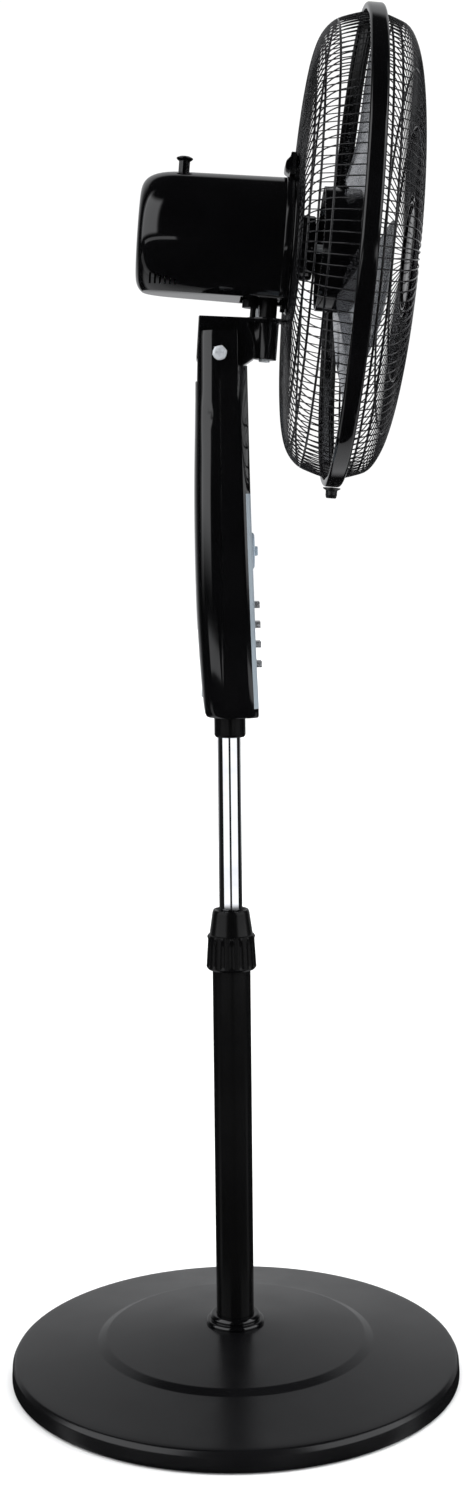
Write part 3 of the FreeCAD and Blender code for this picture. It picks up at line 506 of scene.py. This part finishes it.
def housing_section(height, inset=0.0, front_inset=None, shrink=0.0):
    """A level section: crowned back with broad corners, straighter sides and a tighter front."""
    rear, front, half = station(height)
    rear, half = rear + inset + shrink, half - inset - shrink * 0.8
    front -= (inset if front_inset is None else front_inset) + shrink * 0.5
    corners = [(rear, -half + 1, 19), (front - 6, -half, 30), (front, -half + 5.5, 5.5),
               (front, half - 5.5, 5.5), (front - 6, half, 30), (rear, half - 1, 19)]
    corners.append((rear, 0, 0))
    shaped = []
    for x, y in rounded(corners, steps=8):
        side = abs(y) / half
        x += 2.2 * side ** 2 * (1 - ease(x, rear, rear + 16))
        y -= math.copysign(recess(x, height), y) * ease(side, 0.8, 0.97)
        shaped.append((x, y, height))
    return shaped


def recess(x, height):
    """How far the sides stand back round the tongue-shaped cheek that holds the tilt bolt."""
    drop = max(0.0, 955 - height) / 40
    across = (x + 4.4) / 15.5
    edge = (1 - math.hypot(across, drop)) * 15.5
    return 1.5 * ease(height, 880, 922) * (1 - ease(edge, -1.8, 0.4))


def levels(low, high, count):
    return [low + (high - low) * i / (count - 1) for i in range(count)]


FOOT_ROUND = 3.2
FOOT_ANGLES = (0.0, 0.35, 0.7, 1.05, 1.35)


def housing_solid(name, inset=0.0, front_inset=None, low=643.0, high=998.0):
    """The housing's outer shape with a rounded foot, or a smaller one that its walls are cut to."""
    if inset:
        return loft(name, [housing_section(z, inset, front_inset) for z in levels(low, high, 72)])
    sections = []
    for angle in FOOT_ANGLES:
        level = low + FOOT_ROUND * (1 - math.cos(angle)) * 0.9
        section = housing_section(low, shrink=FOOT_ROUND * (1 - math.sin(angle)))
        sections.append([(x, y, level) for x, y, z in section])
    return loft(name, sections + [housing_section(z) for z in levels(low + 3.4, high, 72)])


def across_block(x_low, x_high, y_half, z_low, z_high):
    """A cutting box that reaches the same distance to both sides."""
    return block("tool", (x_low, -y_half, z_low), (x_high, y_half, z_high))


BUTTONS = [("button_off", "off_key", 692.0), ("button_low", "low_key", 710.5),
           ("button_medium", "medium_key", 729.0), ("button_high", "high_key", 747.5)]
DIAL_Z = 797.5


def control_openings():
    tools = [across_block(12, 60, 11.35, z - 3.35, z + 3.35) for *_, z in BUTTONS]
    tools.append(rod("tool", 17.35, 12, 60, (0, DIAL_Z), along="X", sides=72))
    return tools


def panel_slab(gap=0.0):
    """The front strip of the housing, which the control panel fills."""
    parts = []
    for low, high, half in ((652, 850, 80), (840, 935, 23)):
        edge = [(station(z)[1] - 4.5 - gap, z) for z in levels(low - gap, high + gap, 20)]
        parts.append(prism("slab", edge + [(70, high + gap), (70, low - gap)], -half - gap, half + gap))
    return combine(parts[0], parts[1:], "UNION")


def copy_of(piece, name):
    twin = bpy.data.objects.new(name, piece.data.copy())
    scene.collection.objects.link(twin)
    return twin


def housing_shell():
    """The hollow housing with its slot for the neck, tube hole and tilt bolt hole."""
    outer = housing_solid("housing_outer")
    combine(outer, [across_block(-80, 80, SLOT_HALF, SLOT_FLOOR, 1100),
                    across_block(CHEEK_FRONT, 80, 80, FRONT_TOP, 1100)])
    cavity = housing_solid("housing_cavity", WALL, WALL + 4.5, 645.4, 995.6)
    combine(cavity, [across_block(-80, 80, SLOT_HALF + WALL, SLOT_FLOOR - WALL, 1100),
                     across_block(CHEEK_FRONT - WALL, 80, 80, FRONT_TOP - WALL, 1100)])
    return combine(outer, [cavity, rod("tool", 14.9, 600, 660),
                           rod("tool", 4.05, -80, 80, TILT_AXIS, along="Y")])


REAR_HOLES = [  # radius, depth, height
    (4.2, -23.4, 665), (3.4, -27.6, 765), (3.4, -26.2, 938), (5.1, -16, 700),
]


def make_housing():
    rear = housing_shell()
    panel = combine(housing_solid("panel"), [panel_slab()], "INTERSECT")
    combine(rear, [panel_slab(0.1)])
    front = copy_of(rear, "housing_face")
    combine(front, [across_block(-90, SEAM, 90, 600, 1100)])
    combine(rear, [across_block(SEAM - 0.15, 90, 90, 600, 1100)])
    combine(rear, [rod("tool", radius, -60, depth, (0, z), along="X") for radius, depth, z in REAR_HOLES])
    combine(front, control_openings())
    combine(panel, control_openings())
    for shell, name, edge, material, slot, node in (
            (rear, "housing_back", 0.7, GLOSS_BLACK, "gloss_black", "housing_rear"),
            (front, "housing_face", 0.7, GLOSS_BLACK, "gloss_black", "housing_front"),
            (panel, "button_panel", 0.45, PANEL_GREY, "grey_panel", "control_panel")):
        soften(shell, edge, 2, 38)
        shell.name = name
        place_piece(shell, material, "mast", slot, node)


def make_controls():
    for name, body, z in BUTTONS:
        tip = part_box(name)[1].x / MM
        outline = rounded([(-11, z - 3, 1.1), (11, z - 3, 1.1), (11, z + 3, 1.1), (-11, z + 3, 1.1)], steps=4)
        cap = prism("cap", outline, 17, tip, along="X")
        combine(cap, [rod("tool", 30, -9, 9, (tip + 29.3, z), along="Y", sides=160)])
        stem = block("stem", (8, -3, z - 1.5), (17.2, 3, z + 1.5))
        key = soften(combine(cap, [stem], "UNION"), 0.5, 3, 35)
        key.name = name + "_key"
        place_piece(key, SILVER_KEY, body, "silver_key", name)
    outline = [(0.001, 19.7, 0), (16.8, 19.7, 0.4), (16.8, 24.4, 1.0), (15.2, 25.6, 0.8), (12.6, 25.6, 0.4),
               (12.0, 24.9, 0.4), (0.001, 24.9, 0)]
    disc = lathe("dial", rounded(outline, steps=3), Matrix.Translation((0, 0, DIAL_Z * MM)), "X", 144,
                 lambda a, r, x: r - (0.35 if r > 16 and x < 24.6 and math.cos(36 * a) > 0 else 0))
    grip_outline = rounded([(-13.5, DIAL_Z - 4.6, 4), (13.5, DIAL_Z - 3.2, 3), (13.5, DIAL_Z + 3.2, 3),
                            (-13.5, DIAL_Z + 4.6, 4)], steps=5)
    grip = soften(prism("grip", grip_outline, 24.2, 28.5, along="X"), 0.9, 3)
    combine(disc, [grip, rod("shaft", 3, 0.2, 20, (0, DIAL_Z), along="X"),
                   block("mark", (28.2, 5, DIAL_Z - 0.5), (28.58, 12, DIAL_Z + 0.5))], "UNION")
    disc.name = "timer_knob"
    place_piece(disc, DIAL_GREY, "timer", "dial_grey", "timer_dial")


def make_socket():
    outline = [(12.2, 623.2, 0.3), (13.4, 623.0, 0.8), (14.8, 625.2, 1), (14.8, 676, 0.4), (12.2, 676, 0.2)]
    socket = lathe("tube_socket", rounded(outline, steps=4), Matrix.Translation((0.001, 0, 0)),
                   wave=lambda a, r, z: r - (0.3 if r > 14 and z < 641 and math.cos(24 * a) > 0.72 else 0))
    place_piece(socket, GRIP_BLACK, "mast", "satin_black", "pole_socket")


def make_tilt_bolt():
    x, z = TILT_AXIS
    hexagon = [(x + 6.9 * math.cos(math.radians(60 * i + 12)), z + 6.9 * math.sin(math.radians(60 * i + 12)))
               for i in range(6)]
    bolt = prism("bolt_head", hexagon, -34.3, -30.2)
    combine(bolt, [rod("washer", 6.5, -30.7, -29.9, TILT_AXIS, along="Y"),
                   rod("shank", 4, -30.8, 36.9, TILT_AXIS, along="Y")], "UNION")
    soften(bolt, 0.35, 2)
    outline = [(0.001, -4.6, 0), (5.4, -4.6, 0.8), (6.2, -3.4, 0.5), (6.2, 1, 0), (0.001, 1, 0)]
    facing = Matrix.Translation((x * MM, -0.0303, z * MM)) @ Matrix.Rotation(math.pi / 2, 4, "Z")
    combine(bolt, [lathe("dome", rounded(outline), facing, "X", 64)], "UNION")
    combine(bolt, [block("tool", (x - wide, -36, z - tall), (x + wide, -33.3, z + tall))
                   for wide, tall in ((3.6, 0.7), (0.7, 3.6))])
    bolt.name = "tilt_screw"
    place_piece(bolt, ZINC, "mast", "zinc_steel", "tilt_bolt")


# ---- neck ----

PIVOT_X = -71.8


def make_neck():
    side = [(-135.2, -69.9, 1.5), (-62, -67.2, 1), (-62, -71, 1), (-92, -72.5, 6), (-86.6, -80, 12),
            (-82.4, -92, 20), (-81.4, -103.6, 1.5), (-90, -110.5, 3), (-103, -122.6, 6),
            (-113.7, -125.3, 9),
            (-125.6, -121.4, 6), (-134.6, -108, 4)]
    body = prism("neck", rounded(side, steps=7), -16.3, 16.3, HEAD)
    soften(body, 1.6, 3, 50)
    web = block("web", (-94, -8.5, -103.6), (-72, 8.5, -69.5), HEAD)
    flange = rod("flange", 20.3, -69.2, -67.4, (PIVOT_X, 0), HEAD, sides=96)
    boss_outline = [(5.02, -104, 0.2), (11, -104, 0.8), (11, -68.2, 0.3), (5.02, -68.2, 0.2)]
    pivot = HEAD @ Matrix.Translation((PIVOT_X * MM, 0, 0))
    boss = lathe("boss", rounded(boss_outline, steps=3), pivot, turns=72)
    ear = rod("ear", 5.2, -71, -67.8, (-79, 19.7), HEAD)
    arm = block("arm", (-84, 8, -71), (-74, 20, -67.9), HEAD)
    combine(body, [web, flange, ear, arm], "UNION")
    combine(body, [rod("tool", 10.9, -110, -60, (PIVOT_X, 0), HEAD, sides=72)])
    combine(body, [boss], "UNION")
    combine(body, [rod("tool", 2.5, -75, -60, (-79, 19.7), HEAD),
                   rod("tool", 4.1, -20, 20, (-113.7, -103.4), HEAD, along="Y")])
    soften(body, 0.3, 2, 50)
    body.name = "neck_casting"
    place_piece(body, GLOSS_BLACK, "neck", "gloss_black", "neck_bracket")


# ---- motor ----

COVER_REAR, COVER_FRONT, COVER_FLAT = -195.7, -57, -51.2
KNOB_X = -158.2


def cover_outline(inset):
    """A tapering can whose rear corner turns in slowly, then sharply."""
    rear = COVER_REAR + inset
    wide = 58.3 - inset
    points = [(0.001, rear), (wide - 25, rear)]
    for step in range(1, 16):
        turn = math.radians(90 * step / 16)
        points.append((wide - 25 * (1 - math.sin(turn)) ** 1.15, rear + 45 * (1 - math.cos(turn)) ** 1.4))
    return points + [(wide + 0.2, rear + 50), (60.9 - inset, COVER_FRONT), (0.001, COVER_FRONT)]


def cover_can(name, inset, turns):
    """The cover's outside, or its inside, with the flat underneath."""
    can = lathe(name, cover_outline(inset), HEAD, "X", turns)
    return combine(can, [block("tool", (-300, -90, -200), (0, 90, COVER_FLAT + inset), HEAD)])


def cover_vents():
    """Slots in the cover's back, and down both sides of its flat."""
    tools = []
    for number in range(9):
        y = 5.2 * (number - 4)
        tall = 30 - abs(number - 4) * 2.2
        tools.append(block("tool", (-200, y - 1.2, -6 - tall), (-186, y + 1.2, -6), HEAD))
    for number in range(6):
        x = -181.5 + 4.6 * number
        for side in (-1, 1):
            tools.append(block("tool", (x - 0.9, min(side * 26, side * 60), -46.5),
                               (x + 0.9, max(side * 26, side * 60), -38 - 0.9 * number), HEAD))
    return tools


def make_cover():
    cover = soften(cover_can("cover", 0, 160), 4.5, 5, 24)
    combine(cover, [cover_can("inner", 2.2, 96), block("tool", (-98.5, -26, -58), (-40, 26, -47), HEAD),
                    rod("tool", 5.5, 30, 90, (KNOB_X, 0), HEAD)] + cover_vents())
    outline = [(58.4, -64.2, 0.2), (61.2, -64.2, 0.8), (61.8, -61, 0.8), (61.8, -57.1, 0.4),
               (58.4, -57.1, 0.2)]
    rim = lathe("rim", rounded(outline), HEAD, "X", 160)
    combine(rim, [block("tool", (-100, -90, -200), (0, 90, COVER_FLAT + 1.2), HEAD)])
    combine(cover, [rim], "UNION")
    soften(cover, 0.35, 2, 45)
    cover.name = "motor_shell"
    place_piece(cover, GLOSS_BLACK, "head", "gloss_black", "motor_cover")


def knob_ridges(angle, radius, reach):
    """Small ridges round the knob's stem, just under its cap."""
    ridged = 5 < radius < 5.3 and 60 < reach < 69 and math.cos(8 * angle) > 0.3
    return radius - (0.35 if ridged else 0)


def make_knob():
    outline = [(0.001, 14, 0), (5.15, 14, 0.3), (5.15, 68.4, 0.8), (6.6, 69.3, 0.5), (7.6, 70.4, 0.4),
               (7.6, 71.2, 0.5), (5, 72.5, 1.5), (0.001, 72.6, 0)]
    place = HEAD @ Matrix.Translation((KNOB_X * MM, 0, 0))
    knob = lathe("sweep_knob", rounded(outline, steps=4), place, turns=96, wave=knob_ridges)
    place_piece(knob, GLOSS_BLACK, "knob", "gloss_black", "oscillation_knob")


def make_plate():
    disc = lathe("plate", rounded([(20.2, -61.8, 0.4), (40, -61.8, 1), (41, -56.9, 0.8), (60.4, -56.9, 1),
                                   (61.4, -55.4, 1), (61.4, -50.1, 0.8), (20.2, -50.1, 0.3)]), HEAD, "X", 144)
    ribs = []
    for number in range(12):
        turn = Matrix.Rotation(math.radians(30 * number + 15), 4, "X")
        ribs.append(block("rib", (-60.6, -1.1, 38), (-56, 1.1, 60), HEAD @ turn))
    outline = [(-62, 61.9, 0.3), (-62, 64.2, 1), (-66.4, 66.8, 3), (-66.4, 73.4, 5), (-62.4, 78, 3),
               (-61.9, 81.9, 1), (-56.9, 81.9, 1), (-56.9, 61.9, 0)]
    lug = prism("lug", rounded(outline, steps=5), -16, 16, HEAD)
    nose = block("nose", (-58, -4.4, 66.8), (-48.4, 4.4, 81.8), HEAD)
    step = block("step", (-57.2, -15.9, 50), (-50.1, 15.9, 66.5), HEAD)
    combine(disc, [lug, nose, step] + ribs, "UNION")
    soften(disc, 0.5, 2, 40)
    disc.name = "guard_mount"
    place_piece(disc, GLOSS_BLACK, "head", "gloss_black", "guard_plate")
    outline = [(20.1, -48, 0.3), (29, -48, 0.6), (28.6, -34.8, 1.6), (20.1, -34.6, 0.4)]
    nut = lathe("guard_ring_nut", rounded(outline), HEAD, "X", 240,
                lambda a, r, x: r - (1.1 if r > 27 and math.cos(20 * a) > 0.2 else 0))
    place_piece(nut, GLOSS_BLACK, "head", "gloss_black", "guard_nut")


# ---- guards ----

WIRES = 140
WIRE, HOOP = 0.58, 1.05
REAR_PATH = [(-49.2, 67.4), (-54.2, 80), (-55, 100), (-54.4, 120), (-52.6, 145), (-49.2, 169), (-43.5, 186),
             (-33.5, 197.5), (-20, 203.2), (-4.8, 207.4)]
FRONT_PATH = [(54, 53.6), (53.2, 85), (51.4, 114), (48.6, 142), (44.2, 168), (39, 185), (31, 197.6),
              (19, 203.2), (4.8, 207.4)]
REAR_HOOPS = [(-3.9, 209.6), (-53.6, 116), (-49, 163), (-42.4, 181), (-31.6, 198.2)]
FRONT_HOOPS = [(3.9, 209.6), (49.8, 114), (43.2, 163), (20.5, 201), (12.5, 203.8)]


def through(points, steps):
    """A smooth curve through points."""
    spots = [Vector(p) for p in points]
    curve = []
    for i in range(len(spots) - 1):
        before, after = spots[max(i - 1, 0)], spots[min(i + 2, len(spots) - 1)]
        low, high = spots[i], spots[i + 1]
        for step in range(steps):
            t = step / steps
            curve.append(low * (2 * t ** 3 - 3 * t ** 2 + 1) + (high - before) / 2 * (t ** 3 - 2 * t ** 2 + t)
                         + high * (3 * t ** 2 - 2 * t ** 3) + (after - low) / 2 * (t ** 3 - t ** 2))
    return curve + [spots[-1]]


def turned_copies(verts, faces, count):
    """Points and faces of a shape repeated evenly about the X axis, the first half a step round."""
    all_verts, all_faces = [], []
    for number in range(count):
        turn = Matrix.Rotation(2 * math.pi * (number + 0.5) / count, 4, "X")
        start = len(all_verts)
        all_verts += [turn @ Vector(v) for v in verts]
        all_faces += [tuple(start + i for i in face) for face in faces]
    return all_verts, all_faces


def hoop_mesh(hoops, steps=192, sides=8):
    """Points and faces of round hoops about the X axis, each given by its reach and radius."""
    verts, faces = [], []
    for x, radius in hoops:
        start = len(verts)
        for i in range(steps):
            turn = Matrix.Rotation(2 * math.pi * i / steps, 4, "X")
            for k in range(sides):
                angle = 2 * math.pi * k / sides
                verts.append(turn @ Vector((x + HOOP * math.cos(angle), 0, radius + HOOP * math.sin(angle))))
        for i in range(steps):
            here, ahead = start + i * sides, start + (i + 1) % steps * sides
            for k in range(sides):
                m = (k + 1) % sides
                faces.append((here + k, here + m, ahead + m, ahead + k))
    return verts, faces


def make_guard(side, path, hoops):
    line = [(x, 0, r) for x, r in through(path, 4)]
    wires = piece_from(side + "_wires", *turned_copies(*tube_along(line, WIRE), WIRES), HEAD, 60)
    place_piece(wires, WIRE_COAT, "head", "black_paint", side + "_guard_wires")
    rings = piece_from(side + "_hoops", *hoop_mesh(hoops), HEAD, 60)
    place_piece(rings, WIRE_COAT, "head", "black_paint", side + "_guard_rings")


WIRE_PLATE = [(21.2, -49.8, 0.2), (66.3, -49.8, 0.5), (68.2, -49.0, 0.5), (66.3, -48.2, 0.4),
              (21.2, -48.2, 0.2)]
BAND = [(209.2, -7.9, 0.8), (215.4, -8, 4.2), (215.4, 8, 4.2), (209.2, 7.9, 0.8), (209.2, 5.9, 0.5),
        (213.2, 5.8, 0.6), (213.2, -5.8, 0.6), (209.2, -5.9, 0.5)]
BADGE = [(0.001, 54, 0), (47, 54, 0.5), (47, 51.9, 0.5), (49, 51.9, 0.5), (49, 53.4, 0.5), (54, 53.4, 0.5),
         (54, 51.9, 0.5), (54.9, 51.9, 0.3), (54.9, 55.6, 0.9), (50.5, 57, 1), (49.5, 56.4, 0.4),
         (48, 56.6, 0.4), (30, 57.7, 20), (0.001, 57.9, 0)]
CLIP = [(0.001, -225.9, 0), (4.6, -225.9, 1.2), (5.4, -223, 1), (5.4, -218.6, 1.2), (8.2, -217.0, 0.4),
        (8.2, -216.1, 0.3), (0.001, -215.6, 0)]


def make_guards():
    make_guard("rear", REAR_PATH, REAR_HOOPS)
    make_guard("front", FRONT_PATH, FRONT_HOOPS)
    seat = lathe("rear_wire_plate", rounded(WIRE_PLATE), HEAD, "X", 128)
    place_piece(seat, WIRE_COAT, "head", "black_paint")
    ring = lathe("guard_band", rounded(BAND, steps=5), HEAD, "X", 256)
    place_piece(ring, GLOSS_BLACK, "head", "gloss_black", "guard_ring")
    badge = lathe("front_disc", rounded(BADGE, steps=4), HEAD, "X", 128)
    place_piece(badge, GLOSS_BLACK, "head", "gloss_black", "front_badge")
    clip = lathe("band_clip", rounded(CLIP), HEAD, "Z", 64)
    place_piece(clip, SATIN_BLACK, "head", "satin_black", "guard_clip")


# ---- rotor ----

HUB_REAR = -29
BLADES = 3
BLADE_STATIONS = [  # radius, chord, pitch, sideways shift, centre along the axis
    (54.5, 50, 30, 0, -3), (70, 76, 22, 2, 4), (92, 105, 15.5, 6, 8), (118, 130, 12.6, 9.5, 9.4),
    (140, 145, 11.5, 12, 10), (160, 142, 10.7, 13.2, 10.6), (176, 130, 10, 14, 11), (187, 110, 9.4, 15, 11),
    (194, 78, 9, 16, 11), (196.5, 50, 9, 16, 11),
]


def blade_points(radius, chord, pitch, shift, centre, turn):
    """A cambered blade section at a radius, pitched and bent round the motor axis."""
    half = chord / 2
    points = []
    outline = []
    steps = 12
    for i in range(steps + 1):
        along = -half + chord * i / steps
        thick = 1.0 * (1 - abs(2 * i / steps - 1) ** 4) * 0.9 + 0.25
        rise = 0.05 * chord * (1 - (along / half) ** 2)
        outline.append((along, rise + thick, rise - thick))
    upper = [(a, u) for a, u, v in outline]
    lower = [(a, v) for a, u, v in reversed(outline)]
    c, s = math.cos(math.radians(pitch)), math.sin(math.radians(pitch))
    for along, level in upper + lower:
        x = centre + along * s + level * c
        y = shift + along * c - level * s
        span = math.sqrt(max(radius ** 2 - y ** 2 * 0.55, 1))
        points.append(turn @ Vector((x, y, span)))
    return points


def make_rotor():
    outline = [(4.05, -23, 0.2), (10, -23, 0.5), (10, 6.8, 0.6), (53.5, 6.8, 1.5), (53.4, HUB_REAR, 0.4),
               (55.9, HUB_REAR, 0.6), (56, 4.5, 3), (51, 9.4, 3), (22, 9.5, 0.5), (20.5, 7.6, 0.5),
               (4.05, 7.6, 0.3)]
    hub = lathe("fan_hub", rounded(outline, steps=4), HEAD, "X", 160)
    ribs = []
    for number in range(6):
        turn = Matrix.Rotation(math.radians(60 * number + 30), 4, "X")
        ribs.append(block("rib", (-20, -0.9, 9.6), (7, 0.9, 53.8), HEAD @ turn))
    combine(hub, ribs, "UNION")
    place_piece(hub, GLOSS_BLACK, "rotor", "smoke_plastic", "fan_blade")
    for number in range(BLADES):
        turn = Matrix.Rotation(2 * math.pi * number / BLADES, 4, "X")
        sections = [blade_points(*row, turn) for row in BLADE_STATIONS]
        blade = loft("blade_%d" % (number + 1), sections, HEAD, 40)
        smooth = blade.modifiers.new("smooth", "SUBSURF")
        smooth.levels = 1
        smooth.render_levels = 1
        settle(blade, 50)
        place_piece(blade, SMOKE, "rotor", "smoke_plastic")
    outline = [(4.05, 9.7, 0.2), (15, 9.7, 0.5), (13.4, 17.8, 1.5), (8.5, 23.4, 3), (4.05, 23.4, 0.5)]
    nut = lathe("spinner", rounded(outline, steps=4), HEAD, "X", 192,
                wave=lambda a, r, x: r - (0.8 if r > 9 and 10.4 < x < 22 and math.cos(16 * a) > 0.3 else 0))
    place_piece(nut, GLOSS_BLACK, "rotor", "gloss_black", "blade_nut")


make_base()
make_collar()
make_housing()
make_controls()
make_socket()
make_tilt_bolt()
make_neck()
make_cover()
make_knob()
make_plate()
make_guards()
make_rotor()


# ---- stage, light and camera ----

FLOOR_HALF, FLOOR_STEPS = 14000, 8


def make_floor():
    edge = [FLOOR_HALF * (2 * i / FLOOR_STEPS - 1) for i in range(FLOOR_STEPS + 1)]
    verts = [(x, y, 0) for x in edge for y in edge]
    row = FLOOR_STEPS + 1
    faces = [(i * row + j, (i + 1) * row + j, (i + 1) * row + j + 1, i * row + j + 1)
             for i in range(FLOOR_STEPS) for j in range(FLOOR_STEPS)]
    floor = piece_from("floor", verts, faces)
    made = Shader("floor_white")
    base = made.tint(made.spread(made.noise(3), 0, 1), (0.88, 0.88, 0.88), (0.91, 0.91, 0.91))
    made.set(Specular_IOR_Level=0.1)
    floor.data.materials.append(made.coat_of(base, made.spread(made.noise(4), 0.6, 0.8),
                                             made.bump(made.noise(200), 0.02)))
    floor.visible_glossy = False


def add_light(name, spot, spread, power):
    """A broad light from a direction, that gloss doesn't mirror."""
    lamp = bpy.data.lights.new(name, "SUN")
    lamp.angle = math.radians(spread)
    lamp.energy = power
    holder = bpy.data.objects.new(name, lamp)
    scene.collection.objects.link(holder)
    holder.location = spot
    holder.rotation_euler = (-Vector(spot)).to_track_quat("-Z", "Y").to_euler()
    holder.visible_camera = False
    holder.visible_glossy = False
    return holder


class SkyMath:
    """Small arithmetic chains in the world's node tree."""

    def __init__(self, tree):
        self.tree = tree

    def do(self, operation, *values):
        made = self.tree.nodes.new("ShaderNodeMath")
        made.operation = operation
        for socket, value in zip(made.inputs, values):
            if isinstance(value, (int, float)):
                socket.default_value = value
            else:
                self.tree.links.new(value, socket)
        return made.outputs[0]

    def ramp(self, source, start, end, low=0.0, high=1.0):
        made = self.tree.nodes.new("ShaderNodeMapRange")
        made.interpolation_type = "SMOOTHSTEP"
        for name, value in (("From Min", start), ("From Max", end), ("To Min", low), ("To Max", high)):
            made.inputs[name].default_value = value
        self.tree.links.new(source, made.inputs["Value"])
        return made.outputs["Result"]

    def band(self, source, low, high, soft):
        rise = self.ramp(source, low - soft, low + soft)
        fall = self.ramp(source, high - soft, high + soft, 1.0, 0.0)
        return self.do("MULTIPLY", rise, fall)


SOFT_BOXES = [  # radiance, left and right azimuth, low and high elevation, softness across and in height
    (2.0, -91, -28, 0.5, 58, 4, 3), (2.0, 36, 92, 0.5, 48, 2, 1),
    (0.5, -99, -84, -65, -16, 2, 2), (0.5, 84, 99, -65, -16, 2, 2),
    (0.5, -99, -84, -2, 65, 2, 2), (0.5, 84, 99, -2, 65, 2, 2),
    (1.35, -69.5, -7, -11.1, -6.1, 0.8, 0.1), (1.35, 12.5, 83, -11.1, -6.1, 0.8, 0.1),
]
ROOM_GLOW, SWEEP_GLOW, UNDER_GLOW = 0.012, 0.5, 0.7
DEGREE = math.pi / 180


def room_light(sky, direction):
    """What the fan mirrors: soft boxes, by azimuth from the camera's side, and a sweep behind and below."""
    split = sky.tree.nodes.new("ShaderNodeSeparateXYZ")
    sky.tree.links.new(direction, split.inputs[0])
    x, y, z = split.outputs
    swing = sky.do("ARCTAN2", x, sky.do("MULTIPLY", y, -1))
    away = sky.do("ABSOLUTE", swing)

    def soft_box(radiance, left, right, low, high, soft, level):
        wide = sky.band(swing, left * DEGREE, right * DEGREE, soft * DEGREE)
        tall = sky.band(z, math.sin(low * DEGREE), math.sin(high * DEGREE), level * DEGREE)
        return sky.do("MULTIPLY", sky.do("MULTIPLY", wide, tall), radiance)

    behind = sky.do("MULTIPLY", sky.ramp(away, 115 * DEGREE, 150 * DEGREE), sky.band(z, -0.16, 0.75, 0.05))
    under = sky.do("MULTIPLY", sky.ramp(away, 80 * DEGREE, 110 * DEGREE), sky.band(z, -0.97, -0.6, 0.08))
    parts = [soft_box(*row) for row in SOFT_BOXES]
    parts += [sky.do("MULTIPLY", behind, SWEEP_GLOW), sky.do("MULTIPLY", under, UNDER_GLOW)]
    total = ROOM_GLOW
    for part in parts:
        total = sky.do("ADD", total, part)
    return total


def make_world():
    """A white cyclorama to look at, and a dark room with soft boxes for the fan to mirror."""
    world = bpy.data.worlds.new("studio")
    scene.world = world
    world.use_nodes = True
    tree = world.node_tree
    sky = SkyMath(tree)
    room = tree.nodes["Background"]
    room.inputs["Color"].default_value = (0.97, 0.98, 1, 1)
    direction = tree.nodes.new("ShaderNodeTexCoord").outputs["Generated"]
    tree.links.new(room_light(sky, direction), room.inputs["Strength"])
    white = tree.nodes.new("ShaderNodeBackground")
    white.inputs["Color"].default_value = (1, 1, 1, 1)
    white.inputs["Strength"].default_value = 1.05
    seen = tree.nodes.new("ShaderNodeLightPath")
    direct = sky.do("MAXIMUM", seen.outputs["Is Camera Ray"], seen.outputs["Is Transmission Ray"])
    mix = tree.nodes.new("ShaderNodeMixShader")
    tree.links.new(direct, mix.inputs[0])
    tree.links.new(room.outputs[0], mix.inputs[1])
    tree.links.new(white.outputs[0], mix.inputs[2])
    tree.links.new(mix.outputs[0], tree.nodes["World Output"].inputs["Surface"])


CAMERA_PLACE = (-0.0370, -1.8315, 0.8196)
YAW, PITCH, ROLL = math.radians(1.360), math.radians(-6.516), math.radians(-0.610)
LENS, SENSOR = 46.8, 36


def make_camera():
    """A camera at the fan's right, looking slightly down."""
    forward = Vector((math.sin(YAW) * math.cos(PITCH), math.cos(YAW) * math.cos(PITCH), math.sin(PITCH)))
    right = Vector((math.cos(YAW), -math.sin(YAW), 0))
    up = right.cross(forward)
    across = math.cos(ROLL) * right + math.sin(ROLL) * up
    over = -math.sin(ROLL) * right + math.cos(ROLL) * up
    turn = Matrix((across, over, -forward)).transposed().to_4x4()
    lens = bpy.data.cameras.new("camera")
    lens.sensor_width = SENSOR
    lens.sensor_fit = "AUTO"
    lens.lens = LENS
    holder = bpy.data.objects.new("camera", lens)
    scene.collection.objects.link(holder)
    holder.matrix_world = Matrix.Translation(CAMERA_PLACE) @ turn
    scene.camera = holder


make_floor()
add_light("overhead", (0.2, 0.5, 3.0), 75, 2.7)
add_light("front_fill", (-0.6, -2.6, 1.6), 50, 0.9)
add_light("right_fill", (3.0, -0.5, 0.8), 50, 1.6)
make_world()
make_camera()
scene.view_settings.view_transform = "Standard"
